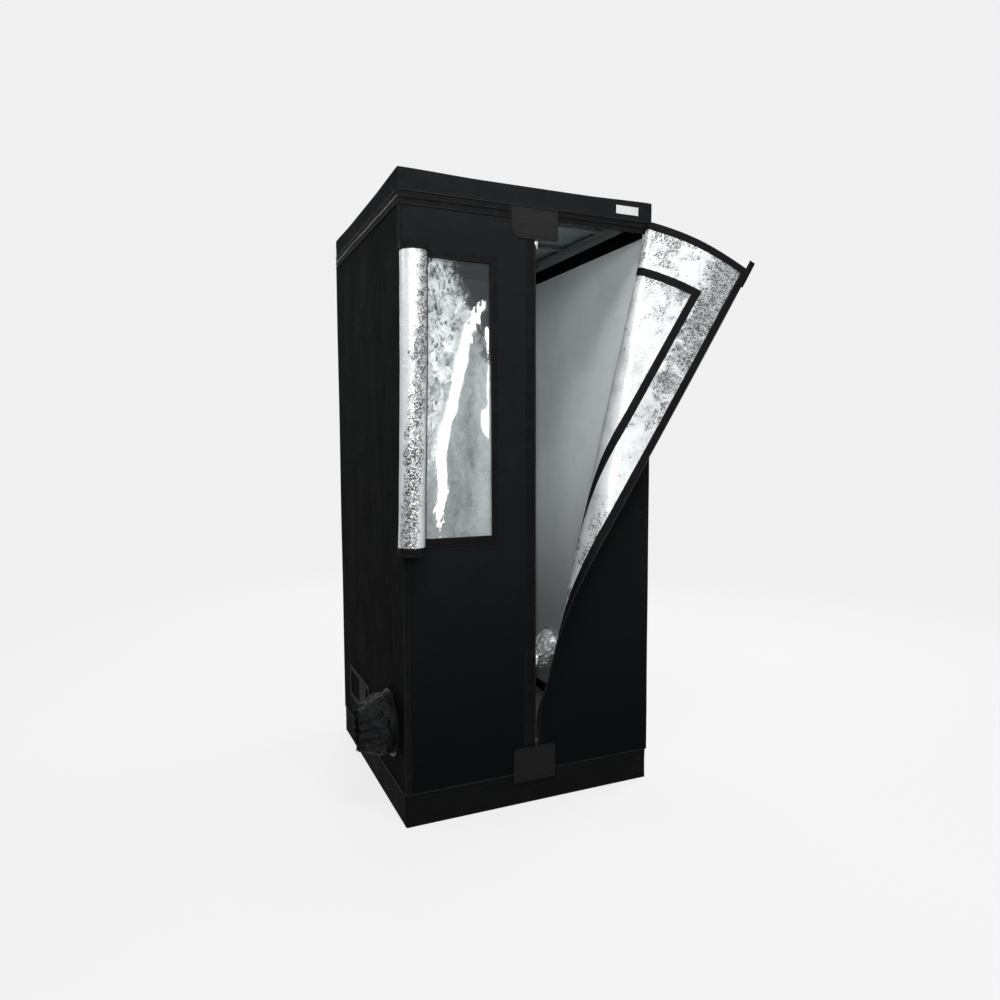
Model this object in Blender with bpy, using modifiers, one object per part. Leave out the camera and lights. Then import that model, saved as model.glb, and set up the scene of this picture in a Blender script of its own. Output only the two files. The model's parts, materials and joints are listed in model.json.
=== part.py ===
"""Indoor grow tent: push-together tube frame, fabric cover, zipped door and its folded-out leaf.

Metres, +Z up. The origin is the middle of the base, the door faces -Y.
"""
import math

import bmesh
import bpy
from mathutils import Vector

# Overall size of the cover
TENT_WIDTH = 0.800
TENT_DEPTH = 0.800
TENT_HEIGHT = 1.800

# Cloth and clearances
CLOTH = 0.0015
SEAT_GAP = 0.0003
HINGE_GAP = 0.0006
CUT_OVERRUN = 0.010

# Frame tubes and corner connectors
TUBE_DIAMETER = 0.016
TUBE_WALL = 0.001
CONNECTOR_SIDE = 0.025
CONNECTOR_ROUND = 0.003
COLLAR_RADIUS = 0.0095
COLLAR_LENGTH = 0.004
SPIGOT_LENGTH = 0.032
SPIGOT_CHAMFER = 0.0015
POST_JOINT_HEIGHT = 0.900
POST_SPIGOT_LENGTH = 0.040
POST_SPIGOT_WALL = 0.001
TUBE_SIDES = 16
SPIGOT_SIDES = 12

# Hanging bars with the saddle hooks at their ends
BAR_OFFSET = 0.130
HOOK_WALL = 0.003
HOOK_LENGTH = 0.024
HOOK_SWEEP = math.radians(200)
HOOK_STUB = 0.014
HOOK_ARC_STEPS = 12
DRAIN_DIAMETER = 0.004
DRAIN_OFFSET = 0.040

# Cover heights
BAND_TOP = 0.095
CAP_DEPTH = 0.057
PIPING_RADIUS = 0.002
PIPING_CORNER_STEPS = 4
BINDING_BELOW_CAP = 0.032
BINDING_INSIDE_CAP = 0.014

# Middle zip and the fold of the right leaf
ZIP_X = 0.006
ZIP_HALF_GAP = 0.002
ZIP_FOOT_RISE = 0.024
FOLD_TOP_INSET = 0.008
FOLD_FOOT_OFFSET = 0.0635
ROLL_RADIUS_FOOT = 0.1147
ROLL_RADIUS_TOP = 0.0120
ROLL_TURN = math.radians(158)
ROLL_FLAT_HEIGHT = 0.020
ROLL_EASE_HEIGHT = 0.170
FLAP_BEND_RADIUS = 1.250
ROLL_OVERLAP = 0.004
FLAP_TIP_HEIGHT = 0.703
ROLL_ROWS = 22
ROLL_COLUMNS = 11
EASE_FLOOR_SHARE = 0.03
EDGE_SEARCH_STEPS = 20
FLAP_ROWS = 13
FLAP_NEAR_COLUMNS = 2
FLAP_FAR_COLUMNS = 4
NARROW_FLAP_SHARES = (0.80, 0.90)

# Binding along the flap's free edge and top, on the lining side
EDGE_BINDING_WIDTH = 0.022
TOP_BINDING_WIDTH = 0.024
BINDING_FOOT_ROWS = 1

# Window, the same in both leaves
WINDOW_SIDE_MARGIN = 0.013
WINDOW_WIDTH = 0.276
WINDOW_DROP = 0.141
WINDOW_HEIGHT = 0.812
WINDOW_FRAME_WIDTH = 0.025
WINDOW_FRAME_THICKNESS = 0.0012
FILM_THICKNESS = 0.0005
FILM_LAP = 0.010
COVER_THICKNESS = 0.0010

# Rolled-up cover of the left window
ROLL_CENTRE_INSET = 0.023
ROLL_OUTER_RADIUS = 0.0385
ROLL_INNER_RADIUS = 0.0345
ROLL_WRAP = math.radians(415)
ROLL_BELOW_WINDOW = 0.011
ROLL_ABOVE_WINDOW = 0.008
ROLL_STEPS = 44
TAIL_INSET = 0.002

# Flaps over the ends of the zip
TOP_FLAP_LEFT = -0.072
TOP_FLAP_RIGHT = 0.076
TOP_FLAP_LENGTH = 0.0884
TOP_FLAP_NEAR_ROUND = 0.022
TOP_FLAP_FAR_ROUND = 0.008
BOTTOM_FLAP_LEFT = -0.071
BOTTOM_FLAP_RIGHT = 0.067
BOTTOM_FLAP_DROP = 0.026
BOTTOM_FLAP_HEIGHT = 0.104
BOTTOM_FLAP_ROUND = 0.010
CORNER_STEPS = 5

# Zip coil and sliders
COIL_WIDTH = 0.0014
COIL_DEPTH = 0.0021
COIL_TOP_MARGIN = 0.006
SLIDER_WIDTH = 0.010
SLIDER_LENGTH = 0.0115
SLIDER_PLATE = 0.0014
SLIDER_BRIDGE = 0.0012
SLIDER_BRIDGE_LENGTH = 0.005
SLIDER_EDGE = 0.0005
UPPER_SLIDER_DROP = 0.0025
LOWER_SLIDER_DROP = 0.013
EAR_THICKNESS = 0.0010
EAR_HEIGHT = 0.0036
EAR_LENGTH = 0.0040
PIN_DIAMETER = 0.0012
PULL_EYE_CLEARANCE = 0.0003
PULL_EYE_RADIUS = 0.0022
PULL_WIDTH = 0.0035
PULL_THICKNESS = 0.0010
PULL_LENGTH = 0.016

# Cable port and its sock, left wall
LEFT_PORT_INSET = 0.165
LEFT_PORT_RISE = 0.155
LEFT_PORT_RADIUS = 0.098
LEFT_SOCK_LENGTH = 0.102
LEFT_SOCK_MOUTH = 0.056
LEFT_SOCK_DROP = 0.022
LEFT_SOCK_DRIFT = 0.020

# Cable port and its sock, right wall, sock pushed inside
RIGHT_PORT_INSET = 0.138
RIGHT_PORT_RISE = 0.167
RIGHT_PORT_RADIUS = 0.080
RIGHT_SOCK_LENGTH = 0.085
RIGHT_SOCK_MOUTH = 0.046
RIGHT_SOCK_DROP = 0.030
RIGHT_SOCK_DRIFT = 0.010

# Exhaust port and its sock, high in the back wall
BACK_PORT_X = 0
BACK_PORT_DROP = 0.203
BACK_PORT_RADIUS = 0.105
BACK_SOCK_LENGTH = 0.110
BACK_SOCK_MOUTH = 0.052
BACK_SOCK_DROP = 0.024

# Gathers of the socks
PORT_SIDES = 32
SOCK_RINGS = 7
SOCK_FOLDS = 8
SOCK_FOLD_DEPTH = 0.007

# Mesh vent, low in the left wall
VENT_INSET = 0.120
VENT_LENGTH = 0.250
VENT_RISE = 0.090
VENT_HEIGHT = 0.080
VENT_FRAME_WIDTH = 0.018
VENT_STRAP_WIDTH = 0.094
VENT_STRAP_INSET = 0.028
NET_THICKNESS = 0.0006
NET_LAP = 0.008
NET_HOLE = 0.0150
NET_PITCH = 0.0190

# Floor tray
TRAY_CLEARANCE = 0.001
TRAY_HEIGHT = 0.058

# Lengths that follow from the sizes above
HALF_WIDTH = TENT_WIDTH / 2
HALF_DEPTH = TENT_DEPTH / 2
TUBE_RADIUS = TUBE_DIAMETER / 2
TUBE_BORE = TUBE_RADIUS - TUBE_WALL
SPIGOT_RADIUS = TUBE_BORE - SEAT_GAP
CONNECTOR_HALF = CONNECTOR_SIDE / 2
TUBE_INSET = CLOTH + SEAT_GAP + CONNECTOR_HALF
TUBE_START = TUBE_INSET + CONNECTOR_HALF + COLLAR_LENGTH + SEAT_GAP
CAP_BOTTOM = TENT_HEIGHT - CAP_DEPTH
BINDING_BOTTOM = CAP_BOTTOM - BINDING_BELOW_CAP
BINDING_TOP = CAP_BOTTOM + BINDING_INSIDE_CAP
LEAF_BOTTOM = BAND_TOP + SEAT_GAP
LEAF_TOP = CAP_BOTTOM - SEAT_GAP
LEAF_SIDE = HALF_WIDTH - CLOTH - SEAT_GAP
FRONT_FACE = -HALF_DEPTH
LEAF_MIDDLE_Y = FRONT_FACE + CLOTH / 2
WINDOW_OUTER_FAR = HALF_WIDTH - WINDOW_SIDE_MARGIN
WINDOW_OUTER_NEAR = WINDOW_OUTER_FAR - WINDOW_WIDTH
WINDOW_TOP = CAP_BOTTOM - WINDOW_DROP
WINDOW_BOTTOM = WINDOW_TOP - WINDOW_HEIGHT
ROLL_CENTRE_X = ROLL_CENTRE_INSET - HALF_WIDTH
ROLL_BOTTOM = WINDOW_BOTTOM - ROLL_BELOW_WINDOW
ROLL_TOP = WINDOW_TOP + ROLL_ABOVE_WINDOW
TOP_FLAP_TOP = CAP_BOTTOM - HINGE_GAP
TOP_FLAP_BOTTOM = TOP_FLAP_TOP - TOP_FLAP_LENGTH
BOTTOM_FLAP_FOOT = BAND_TOP - BOTTOM_FLAP_DROP
BOTTOM_FLAP_TOP = BOTTOM_FLAP_FOOT + BOTTOM_FLAP_HEIGHT
ZIP_FOOT = BOTTOM_FLAP_TOP + ZIP_FOOT_RISE
UPPER_SLIDER_TOP = TOP_FLAP_BOTTOM - UPPER_SLIDER_DROP
LOWER_SLIDER_BOTTOM = ZIP_FOOT - LOWER_SLIDER_DROP
LEFT_PORT_Y = LEFT_PORT_INSET - HALF_DEPTH
LEFT_PORT_Z = BAND_TOP + LEFT_PORT_RISE
RIGHT_PORT_Y = HALF_DEPTH - RIGHT_PORT_INSET
RIGHT_PORT_Z = BAND_TOP + RIGHT_PORT_RISE
BACK_PORT_Z = CAP_BOTTOM - BACK_PORT_DROP
VENT_BACK = HALF_DEPTH - VENT_INSET
VENT_FRONT = VENT_BACK - VENT_LENGTH
VENT_BOTTOM = BAND_TOP + VENT_RISE
VENT_TOP = VENT_BOTTOM + VENT_HEIGHT
VENT_STRAP_FRONT = VENT_FRONT + VENT_STRAP_INSET
VENT_STRAP_BACK = VENT_STRAP_FRONT + VENT_STRAP_WIDTH

COLLECTION_NAME = "indoor_grow_tent"
MATERIALS = {
    "outer_fabric": ((0.020, 0.021, 0.022), 0.75, 0.0),
    "leaf_fabric": ((0.022, 0.024, 0.026), 0.72, 0.0),
    "lining": ((0.62, 0.64, 0.64), 0.30, 0.8),
    "webbing": ((0.012, 0.012, 0.012), 0.85, 0.0),
    "piping": ((0.030, 0.032, 0.031), 0.60, 0.0),
    "window_film": ((0.72, 0.76, 0.76), 0.08, 0.0),
    "tube_paint": ((0.82, 0.83, 0.82), 0.35, 0.3),
    "connector_plastic": ((0.030, 0.030, 0.031), 0.50, 0.0),
    "zip_coil": ((0.018, 0.018, 0.018), 0.55, 0.0),
    "zip_metal": ((0.66, 0.66, 0.64), 0.28, 1.0),
    "vent_net": ((0.060, 0.070, 0.070), 0.70, 0.0),
    "tray_film": ((0.60, 0.62, 0.62), 0.35, 0.6),
}


def clear_scene():
    for item in list(bpy.data.objects):
        bpy.data.objects.remove(item, do_unlink=True)


def make_collection(name):
    collection = bpy.data.collections.new(name)
    bpy.context.scene.collection.children.link(collection)
    return collection


def make_materials():
    made = {}
    for name, (colour, roughness, metallic) in MATERIALS.items():
        material = bpy.data.materials.new(name)
        material.use_nodes = True
        shader = material.node_tree.nodes["Principled BSDF"]
        shader.inputs["Base Color"].default_value = (*colour, 1.0)
        shader.inputs["Roughness"].default_value = roughness
        shader.inputs["Metallic"].default_value = metallic
        made[name] = material
    return made


clear_scene()
parts = make_collection(COLLECTION_NAME)
cutters = make_collection("cutters")
materials = make_materials()


def add_object(name, data, slot=None, location=(0, 0, 0), rotation=(0, 0, 0), parent=None):
    """Put a mesh or curve in the scene as a part, or as a hidden cutter when it has no slot."""
    item = bpy.data.objects.new(name, data)
    item.location = location
    item.rotation_euler = rotation
    if slot is None:
        cutters.objects.link(item)
        item.hide_render = True
        item.display_type = "WIRE"
    else:
        parts.objects.link(item)
        data.materials.append(materials[slot])
    if parent is not None:
        item.parent = parent
        item.location = Vector(location) - parent.location
    return item


def add_pivot(name, location):
    pivot = bpy.data.objects.new(name, None)
    pivot.location = location
    pivot.empty_display_size = CONNECTOR_SIDE
    parts.objects.link(pivot)
    return pivot


def smooth(mesh):
    mesh.shade_smooth()
    mesh.set_sharp_from_angle(angle=math.radians(35))


def boolean(item, cutter, operation):
    step = item.modifiers.new(operation.lower() + "_" + cutter.name, "BOOLEAN")
    step.object = cutter
    step.operation = operation
    step.solver = "EXACT"


def box_mesh(name, size, bevel=0.0, bevel_steps=1):
    """A box centred on its origin, with its edges rounded when a bevel is given."""
    shape = bmesh.new()
    bmesh.ops.create_cube(shape, size=1)
    bmesh.ops.scale(shape, vec=size, verts=shape.verts)
    if bevel:
        bmesh.ops.bevel(shape, geom=shape.edges, offset=bevel, segments=bevel_steps, profile=0.5, affect="EDGES")
    mesh = bpy.data.meshes.new(name)
    shape.to_mesh(mesh)
    shape.free()
    return mesh


def add_box(name, slot, low, high, bevel=0.0, parent=None):
    low = Vector(low)
    high = Vector(high)
    return add_object(name, box_mesh(name, high - low, bevel), slot, (low + high) / 2, parent=parent)


def turned_mesh(name, profile, sides, closed):
    """Turn a profile of (radius, height) points, listed down its outer side, about Z."""
    mesh = bpy.data.meshes.new(name)
    edges = [(i, i + 1) for i in range(len(profile) - 1)]
    if closed:
        edges.append((len(profile) - 1, 0))
    mesh.from_pydata([(radius, 0, height) for radius, height in profile], edges, [])
    holder = bpy.data.objects.new(name + "_profile", mesh)
    cutters.objects.link(holder)
    step = holder.modifiers.new("turn", "SCREW")
    step.steps = sides
    step.render_steps = sides
    step.use_merge_vertices = True
    step.merge_threshold = SEAT_GAP / 10
    step.use_normal_calculate = False
    bpy.context.view_layer.update()
    turned = bpy.data.meshes.new_from_object(holder.evaluated_get(bpy.context.evaluated_depsgraph_get()))
    turned.name = name
    bpy.data.objects.remove(holder, do_unlink=True)
    smooth(turned)
    return turned


def axis_rotation(axis, sign=1):
    """The rotation that takes the turning axis Z to a world axis."""
    if axis == "x":
        return (0, sign * math.pi / 2, 0)
    if axis == "y":
        return (-sign * math.pi / 2, 0, 0)
    return (0, 0, 0) if sign > 0 else (math.pi, 0, 0)


def arc_points(centre, radius, start, end, steps):
    return [
        (centre[0] + radius * math.cos(a), centre[1] + radius * math.sin(a))
        for a in (start + (end - start) * i / steps for i in range(steps + 1))
    ]


def circle_points(centre, radius, sides):
    return arc_points(centre, radius, 0, 2 * math.pi, sides)[:-1]


def rectangle(left, bottom, right, top):
    return [(left, bottom), (right, bottom), (right, top), (left, top)]


def rounded_rectangle(left, bottom, right, top, radii):
    """Corners in turn from the lower left, each with its own radius; a zero radius stays sharp."""
    corners = [
        (left, bottom, 1, 1, math.pi),
        (right, bottom, -1, 1, 1.5 * math.pi),
        (right, top, -1, -1, 0),
        (left, top, 1, -1, 0.5 * math.pi),
    ]
    points = []
    for (x, y, toward_x, toward_y, start), radius in zip(corners, radii):
        if radius:
            centre = (x + toward_x * radius, y + toward_y * radius)
            points += arc_points(centre, radius, start, start + math.pi / 2, CORNER_STEPS)
        else:
            points.append((x, y))
    return points


def outline_curve(name, outlines, thickness):
    """A flat filled curve; outlines after the first are its holes."""
    curve = bpy.data.curves.new(name, "CURVE")
    curve.dimensions = "2D"
    curve.fill_mode = "BOTH"
    curve.extrude = thickness / 2
    for outline in outlines:
        spline = curve.splines.new("POLY")
        spline.points.add(len(outline) - 1)
        for point, (x, y) in zip(spline.points, outline):
            point.co = (x, y, 0, 1)
        spline.use_cyclic_u = True
    return curve


def add_front_panel(name, slot, outlines, thickness, middle_y, parent=None):
    """A panel drawn in X and Z, lying parallel to the front."""
    return add_object(name, outline_curve(name, outlines, thickness), slot, (0, middle_y, 0),
                      (math.pi / 2, 0, 0), parent)


def add_side_panel(name, slot, outlines, thickness, middle_x):
    """A panel drawn in Y and Z, lying parallel to the sides."""
    return add_object(name, outline_curve(name, outlines, thickness), slot, (middle_x, 0, 0),
                      (math.pi / 2, 0, math.pi / 2))


def shell_mesh(name, low, high, open_faces):
    """The faces of a box, without those whose normals are listed."""
    shape = bmesh.new()
    bmesh.ops.create_cube(shape, size=1)
    bmesh.ops.scale(shape, vec=Vector(high) - Vector(low), verts=shape.verts)
    shape.normal_update()
    gone = [face for face in shape.faces if tuple(round(c) for c in face.normal) in open_faces]
    bmesh.ops.delete(shape, geom=gone, context="FACES_ONLY")
    mesh = bpy.data.meshes.new(name)
    shape.to_mesh(mesh)
    shape.free()
    return mesh


def add_shell(name, slot, low, high, open_faces, wall):
    """An open box of cloth whose outer faces are the given box."""
    middle = (Vector(low) + Vector(high)) / 2
    item = add_object(name, shell_mesh(name, low, high, open_faces), slot, middle)
    step = item.modifiers.new("wall", "SOLIDIFY")
    step.thickness = wall
    step.offset = -1
    step.use_even_offset = True
    return item


# Tube frame

def spigot_mesh():
    """A connector's spigot with its collar, turned about Z and starting inside the connector's body."""
    collar_top = CONNECTOR_HALF + COLLAR_LENGTH
    tip = collar_top + SPIGOT_LENGTH
    profile = [
        (0, tip),
        (SPIGOT_RADIUS - SPIGOT_CHAMFER, tip),
        (SPIGOT_RADIUS, tip - SPIGOT_CHAMFER),
        (SPIGOT_RADIUS, collar_top),
        (COLLAR_RADIUS, collar_top),
        (COLLAR_RADIUS, 0),
        (0, 0),
    ]
    return turned_mesh("spigot", profile, SPIGOT_SIDES, closed=False)


def corner_centre(side_x, side_y, side_z):
    z = TUBE_INSET if side_z < 0 else TENT_HEIGHT - TUBE_INSET
    return Vector((side_x * (HALF_WIDTH - TUBE_INSET), side_y * (HALF_DEPTH - TUBE_INSET), z))


def make_connectors():
    spigot = spigot_mesh()
    for level, side_z in (("bottom", -1), ("top", 1)):
        for depth, side_y in (("front", -1), ("back", 1)):
            for side, side_x in (("left", -1), ("right", 1)):
                name = f"corner_{level}_{depth}_{side}"
                centre = corner_centre(side_x, side_y, side_z)
                body_size = Vector((CONNECTOR_SIDE, CONNECTOR_SIDE, CONNECTOR_SIDE))
                body = add_object(name, box_mesh(name, body_size, CONNECTOR_ROUND), "connector_plastic", centre)
                for axis, sign in (("x", -side_x), ("y", -side_y), ("z", -side_z)):
                    arm = add_object(f"{name}_spigot_{axis}", spigot, None, centre, axis_rotation(axis, sign))
                    boolean(body, arm, "UNION")


def tube_mesh(name, length):
    """A plain round tube, centred on its origin and turned about Z."""
    half = length / 2
    profile = [(TUBE_RADIUS, half), (TUBE_RADIUS, -half), (TUBE_BORE, -half), (TUBE_BORE, half)]
    return turned_mesh(name, profile, TUBE_SIDES, closed=True)


def make_rails():
    across = TENT_WIDTH - 2 * TUBE_START
    along = TENT_DEPTH - 2 * TUBE_START
    rail_x = HALF_WIDTH - TUBE_INSET
    rail_y = HALF_DEPTH - TUBE_INSET
    for level, z in (("bottom", TUBE_INSET), ("top", TENT_HEIGHT - TUBE_INSET)):
        for depth, y in (("front", -rail_y), ("back", rail_y)):
            name = f"rail_{level}_{depth}"
            add_object(name, tube_mesh(name, across), "tube_paint", (0, y, z), axis_rotation("x"))
        for side, x in (("left", -rail_x), ("right", rail_x)):
            name = f"rail_{level}_{side}"
            add_object(name, tube_mesh(name, along), "tube_paint", (x, 0, z), axis_rotation("y"))


def lower_post_mesh(name):
    """The lower length of a corner post, drawn in at its top to a spigot."""
    bottom = TUBE_START
    shoulder = POST_JOINT_HEIGHT
    tip = shoulder + POST_SPIGOT_LENGTH
    inner = SPIGOT_RADIUS - POST_SPIGOT_WALL
    profile = [
        (SPIGOT_RADIUS, tip),
        (SPIGOT_RADIUS, shoulder),
        (TUBE_RADIUS, shoulder - TUBE_WALL),
        (TUBE_RADIUS, bottom),
        (TUBE_BORE, bottom),
        (TUBE_BORE, shoulder - TUBE_DIAMETER),
        (inner, shoulder - TUBE_DIAMETER + TUBE_WALL),
        (inner, tip),
    ]
    return turned_mesh(name, profile, TUBE_SIDES, closed=True)


def make_posts():
    upper_bottom = POST_JOINT_HEIGHT + SEAT_GAP
    upper_top = TENT_HEIGHT - TUBE_START
    for depth, side_y in (("front", -1), ("back", 1)):
        for side, side_x in (("left", -1), ("right", 1)):
            x = side_x * (HALF_WIDTH - TUBE_INSET)
            y = side_y * (HALF_DEPTH - TUBE_INSET)
            name = f"post_lower_{depth}_{side}"
            add_object(name, lower_post_mesh(name), "tube_paint", (x, y, 0))
            name = f"post_upper_{depth}_{side}"
            middle = (upper_bottom + upper_top) / 2
            add_object(name, tube_mesh(name, upper_top - upper_bottom), "tube_paint", (x, y, middle))


def hook_outline(rail_x, side):
    """A saddle over the side rail, drawn in X and Z about the rail's centre."""
    inner = TUBE_RADIUS + SEAT_GAP
    outer = inner + HOOK_WALL
    middle = math.pi / 2
    start = middle - HOOK_SWEEP / 2
    end = middle + HOOK_SWEEP / 2
    centre = (side * rail_x, TENT_HEIGHT - TUBE_INSET)
    outside = arc_points(centre, outer, start, end, HOOK_ARC_STEPS)
    inside = arc_points(centre, inner, end, start, HOOK_ARC_STEPS)
    return outside + inside


def make_hanging_bars():
    """Each bar spans the side rails; its two saddle hooks are welded in, with a drain hole beside each."""
    rail_x = HALF_WIDTH - TUBE_INSET
    hook_outer = TUBE_RADIUS + SEAT_GAP + HOOK_WALL
    bar_end = rail_x - hook_outer - SEAT_GAP
    bar_z = TENT_HEIGHT - TUBE_INSET
    for depth, y in (("front", -BAR_OFFSET), ("rear", BAR_OFFSET)):
        name = f"hanging_bar_{depth}"
        bar = add_object(name, tube_mesh(name, 2 * bar_end), "tube_paint", (0, y, bar_z), axis_rotation("x"))
        for side_name, side in (("left", -1), ("right", 1)):
            weld_name = f"{name}_hook_{side_name}"
            curve = outline_curve(weld_name, [hook_outline(rail_x, side)], HOOK_LENGTH)
            hook = mesh_from_curve(add_object(weld_name, curve, None, (0, y, 0), (math.pi / 2, 0, 0)))
            stub_inner = rail_x - TUBE_RADIUS - SEAT_GAP - HOOK_WALL / 2
            stub_outer = bar_end - HOOK_STUB
            half = (stub_inner - stub_outer) / 2
            stub_radius = TUBE_BORE + TUBE_WALL / 2
            profile = [(0, half), (stub_radius, half), (stub_radius, -half), (0, -half)]
            stub_mesh = turned_mesh(f"{name}_stub_{side_name}", profile, TUBE_SIDES, closed=False)
            stub = add_object(stub_mesh.name, stub_mesh, None, (side * (stub_inner + stub_outer) / 2, y, bar_z),
                              axis_rotation("x"))
            boolean(bar, stub, "UNION")
            boolean(bar, hook, "UNION")
            radius = DRAIN_DIAMETER / 2
            profile = [(0, TUBE_RADIUS), (radius, TUBE_RADIUS), (radius, -CUT_OVERRUN), (0, -CUT_OVERRUN)]
            drain_mesh = turned_mesh(f"{name}_drain_{side_name}", profile, SPIGOT_SIDES, closed=False)
            drain_x = side * (bar_end - HOOK_STUB - DRAIN_OFFSET)
            drain = add_object(drain_mesh.name, drain_mesh, None, (drain_x, y, bar_z - TUBE_RADIUS))
            boolean(bar, drain, "DIFFERENCE")


def mesh_from_curve(item):
    """Turn a curve object into a mesh with its caps welded, so that it can be cut or joined."""
    bpy.context.view_layer.update()
    evaluated = item.evaluated_get(bpy.context.evaluated_depsgraph_get())
    mesh = bpy.data.meshes.new_from_object(evaluated)
    shape = bmesh.new()
    shape.from_mesh(mesh)
    bmesh.ops.remove_doubles(shape, verts=shape.verts, dist=SEAT_GAP / 10)
    bmesh.ops.recalc_face_normals(shape, faces=shape.faces)
    shape.to_mesh(mesh)
    shape.free()
    name = item.name
    matrix = item.matrix_world.copy()
    bpy.data.objects.remove(item, do_unlink=True)
    solid = add_object(name, mesh)
    solid.matrix_world = matrix
    return solid


# Cover

def make_base_and_band():
    add_box("base_panel", "outer_fabric", (-HALF_WIDTH, -HALF_DEPTH, 0), (HALF_WIDTH, HALF_DEPTH, CLOTH))
    add_shell("bottom_band", "outer_fabric", (-HALF_WIDTH, -HALF_DEPTH, CLOTH + SEAT_GAP),
              (HALF_WIDTH, HALF_DEPTH, BAND_TOP), [(0, 0, 1), (0, 0, -1)], CLOTH)


def make_cap():
    add_shell("roof_cap", "outer_fabric", (-HALF_WIDTH, -HALF_DEPTH, CAP_BOTTOM),
              (HALF_WIDTH, HALF_DEPTH, TENT_HEIGHT), [(0, 0, -1)], CLOTH)


def make_piping():
    """A round bead along the foot of the cap, with rounded corners."""
    reach = HALF_WIDTH + SEAT_GAP + PIPING_RADIUS
    depth_reach = HALF_DEPTH + SEAT_GAP + PIPING_RADIUS
    corner = PIPING_RADIUS + SEAT_GAP
    points = []
    for centre, start in (
        ((reach - corner, depth_reach - corner), 0),
        ((corner - reach, depth_reach - corner), 0.5 * math.pi),
        ((corner - reach, corner - depth_reach), math.pi),
        ((reach - corner, corner - depth_reach), 1.5 * math.pi),
    ):
        points += arc_points(centre, corner, start, start + math.pi / 2, PIPING_CORNER_STEPS)
    curve = bpy.data.curves.new("cap_piping", "CURVE")
    curve.dimensions = "3D"
    curve.bevel_depth = PIPING_RADIUS
    curve.bevel_resolution = 2
    spline = curve.splines.new("POLY")
    spline.points.add(len(points) - 1)
    for point, (x, y) in zip(spline.points, points):
        point.co = (x, y, 0, 1)
    spline.use_cyclic_u = True
    add_object("cap_piping", curve, "piping", (0, 0, CAP_BOTTOM + PIPING_RADIUS))


def make_seam_binding():
    """A strip inside the cover, over the seam between cap and walls, on the three closed sides."""
    reach_x = HALF_WIDTH - CLOTH - SEAT_GAP
    reach_y = HALF_DEPTH - CLOTH - SEAT_GAP
    add_shell("seam_binding", "webbing", (-reach_x, -reach_y, BINDING_BOTTOM), (reach_x, reach_y, BINDING_TOP),
              [(0, 0, 1), (0, 0, -1), (0, -1, 0)], CLOTH)


def make_side_walls():
    wall = rectangle(-HALF_DEPTH, LEAF_BOTTOM, HALF_DEPTH, LEAF_TOP)
    left_port = circle_points((LEFT_PORT_Y, LEFT_PORT_Z), LEFT_PORT_RADIUS, PORT_SIDES)
    vent = rectangle(VENT_FRONT, VENT_BOTTOM, VENT_BACK, VENT_TOP)
    add_side_panel("wall_left", "outer_fabric", [wall, left_port, vent], CLOTH, CLOTH / 2 - HALF_WIDTH)
    right_port = circle_points((RIGHT_PORT_Y, RIGHT_PORT_Z), RIGHT_PORT_RADIUS, PORT_SIDES)
    add_side_panel("wall_right", "outer_fabric", [wall, right_port], CLOTH, HALF_WIDTH - CLOTH / 2)


def make_back_wall():
    wall = rectangle(-LEAF_SIDE, LEAF_BOTTOM, LEAF_SIDE, LEAF_TOP)
    port = circle_points((BACK_PORT_X, BACK_PORT_Z), BACK_PORT_RADIUS, PORT_SIDES)
    add_front_panel("wall_back", "outer_fabric", [wall, port], CLOTH, HALF_DEPTH - CLOTH / 2)


def make_vent():
    """Net behind the wall's opening, and a webbing frame with a strap across it outside."""
    holes = []
    columns = int((VENT_BACK - VENT_FRONT - NET_HOLE) / NET_PITCH) + 1
    rows = int((VENT_TOP - VENT_BOTTOM - NET_HOLE) / NET_PITCH) + 1
    first_y = (VENT_FRONT + VENT_BACK - (columns - 1) * NET_PITCH) / 2
    first_z = (VENT_BOTTOM + VENT_TOP - (rows - 1) * NET_PITCH) / 2
    half = NET_HOLE / 2
    for column in range(columns):
        for row in range(rows):
            y = first_y + column * NET_PITCH
            z = first_z + row * NET_PITCH
            holes.append(rectangle(y - half, z - half, y + half, z + half))
    net = rectangle(VENT_FRONT - NET_LAP, VENT_BOTTOM - NET_LAP, VENT_BACK + NET_LAP, VENT_TOP + NET_LAP)
    net_x = CLOTH + SEAT_GAP + NET_THICKNESS / 2 - HALF_WIDTH
    add_side_panel("vent_net", "vent_net", [net] + holes, NET_THICKNESS, net_x)
    width = VENT_FRAME_WIDTH
    frame = rectangle(VENT_FRONT - width, VENT_BOTTOM - width, VENT_BACK + width, VENT_TOP + width)
    front_hole = rectangle(VENT_FRONT, VENT_BOTTOM, VENT_STRAP_FRONT, VENT_TOP)
    back_hole = rectangle(VENT_STRAP_BACK, VENT_BOTTOM, VENT_BACK, VENT_TOP)
    frame_x = -HALF_WIDTH - SEAT_GAP - WINDOW_FRAME_THICKNESS / 2
    add_side_panel("vent_frame", "webbing", [frame, front_hole, back_hole], WINDOW_FRAME_THICKNESS, frame_x)


def make_tray():
    reach_x = HALF_WIDTH - TUBE_INSET - CONNECTOR_HALF - TRAY_CLEARANCE
    reach_y = HALF_DEPTH - TUBE_INSET - CONNECTOR_HALF - TRAY_CLEARANCE
    bottom = CLOTH + SEAT_GAP
    add_shell("floor_tray", "tray_film", (-reach_x, -reach_y, bottom), (reach_x, reach_y, bottom + TRAY_HEIGHT),
              [(0, 0, 1)], CLOTH)


# Socks

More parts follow.
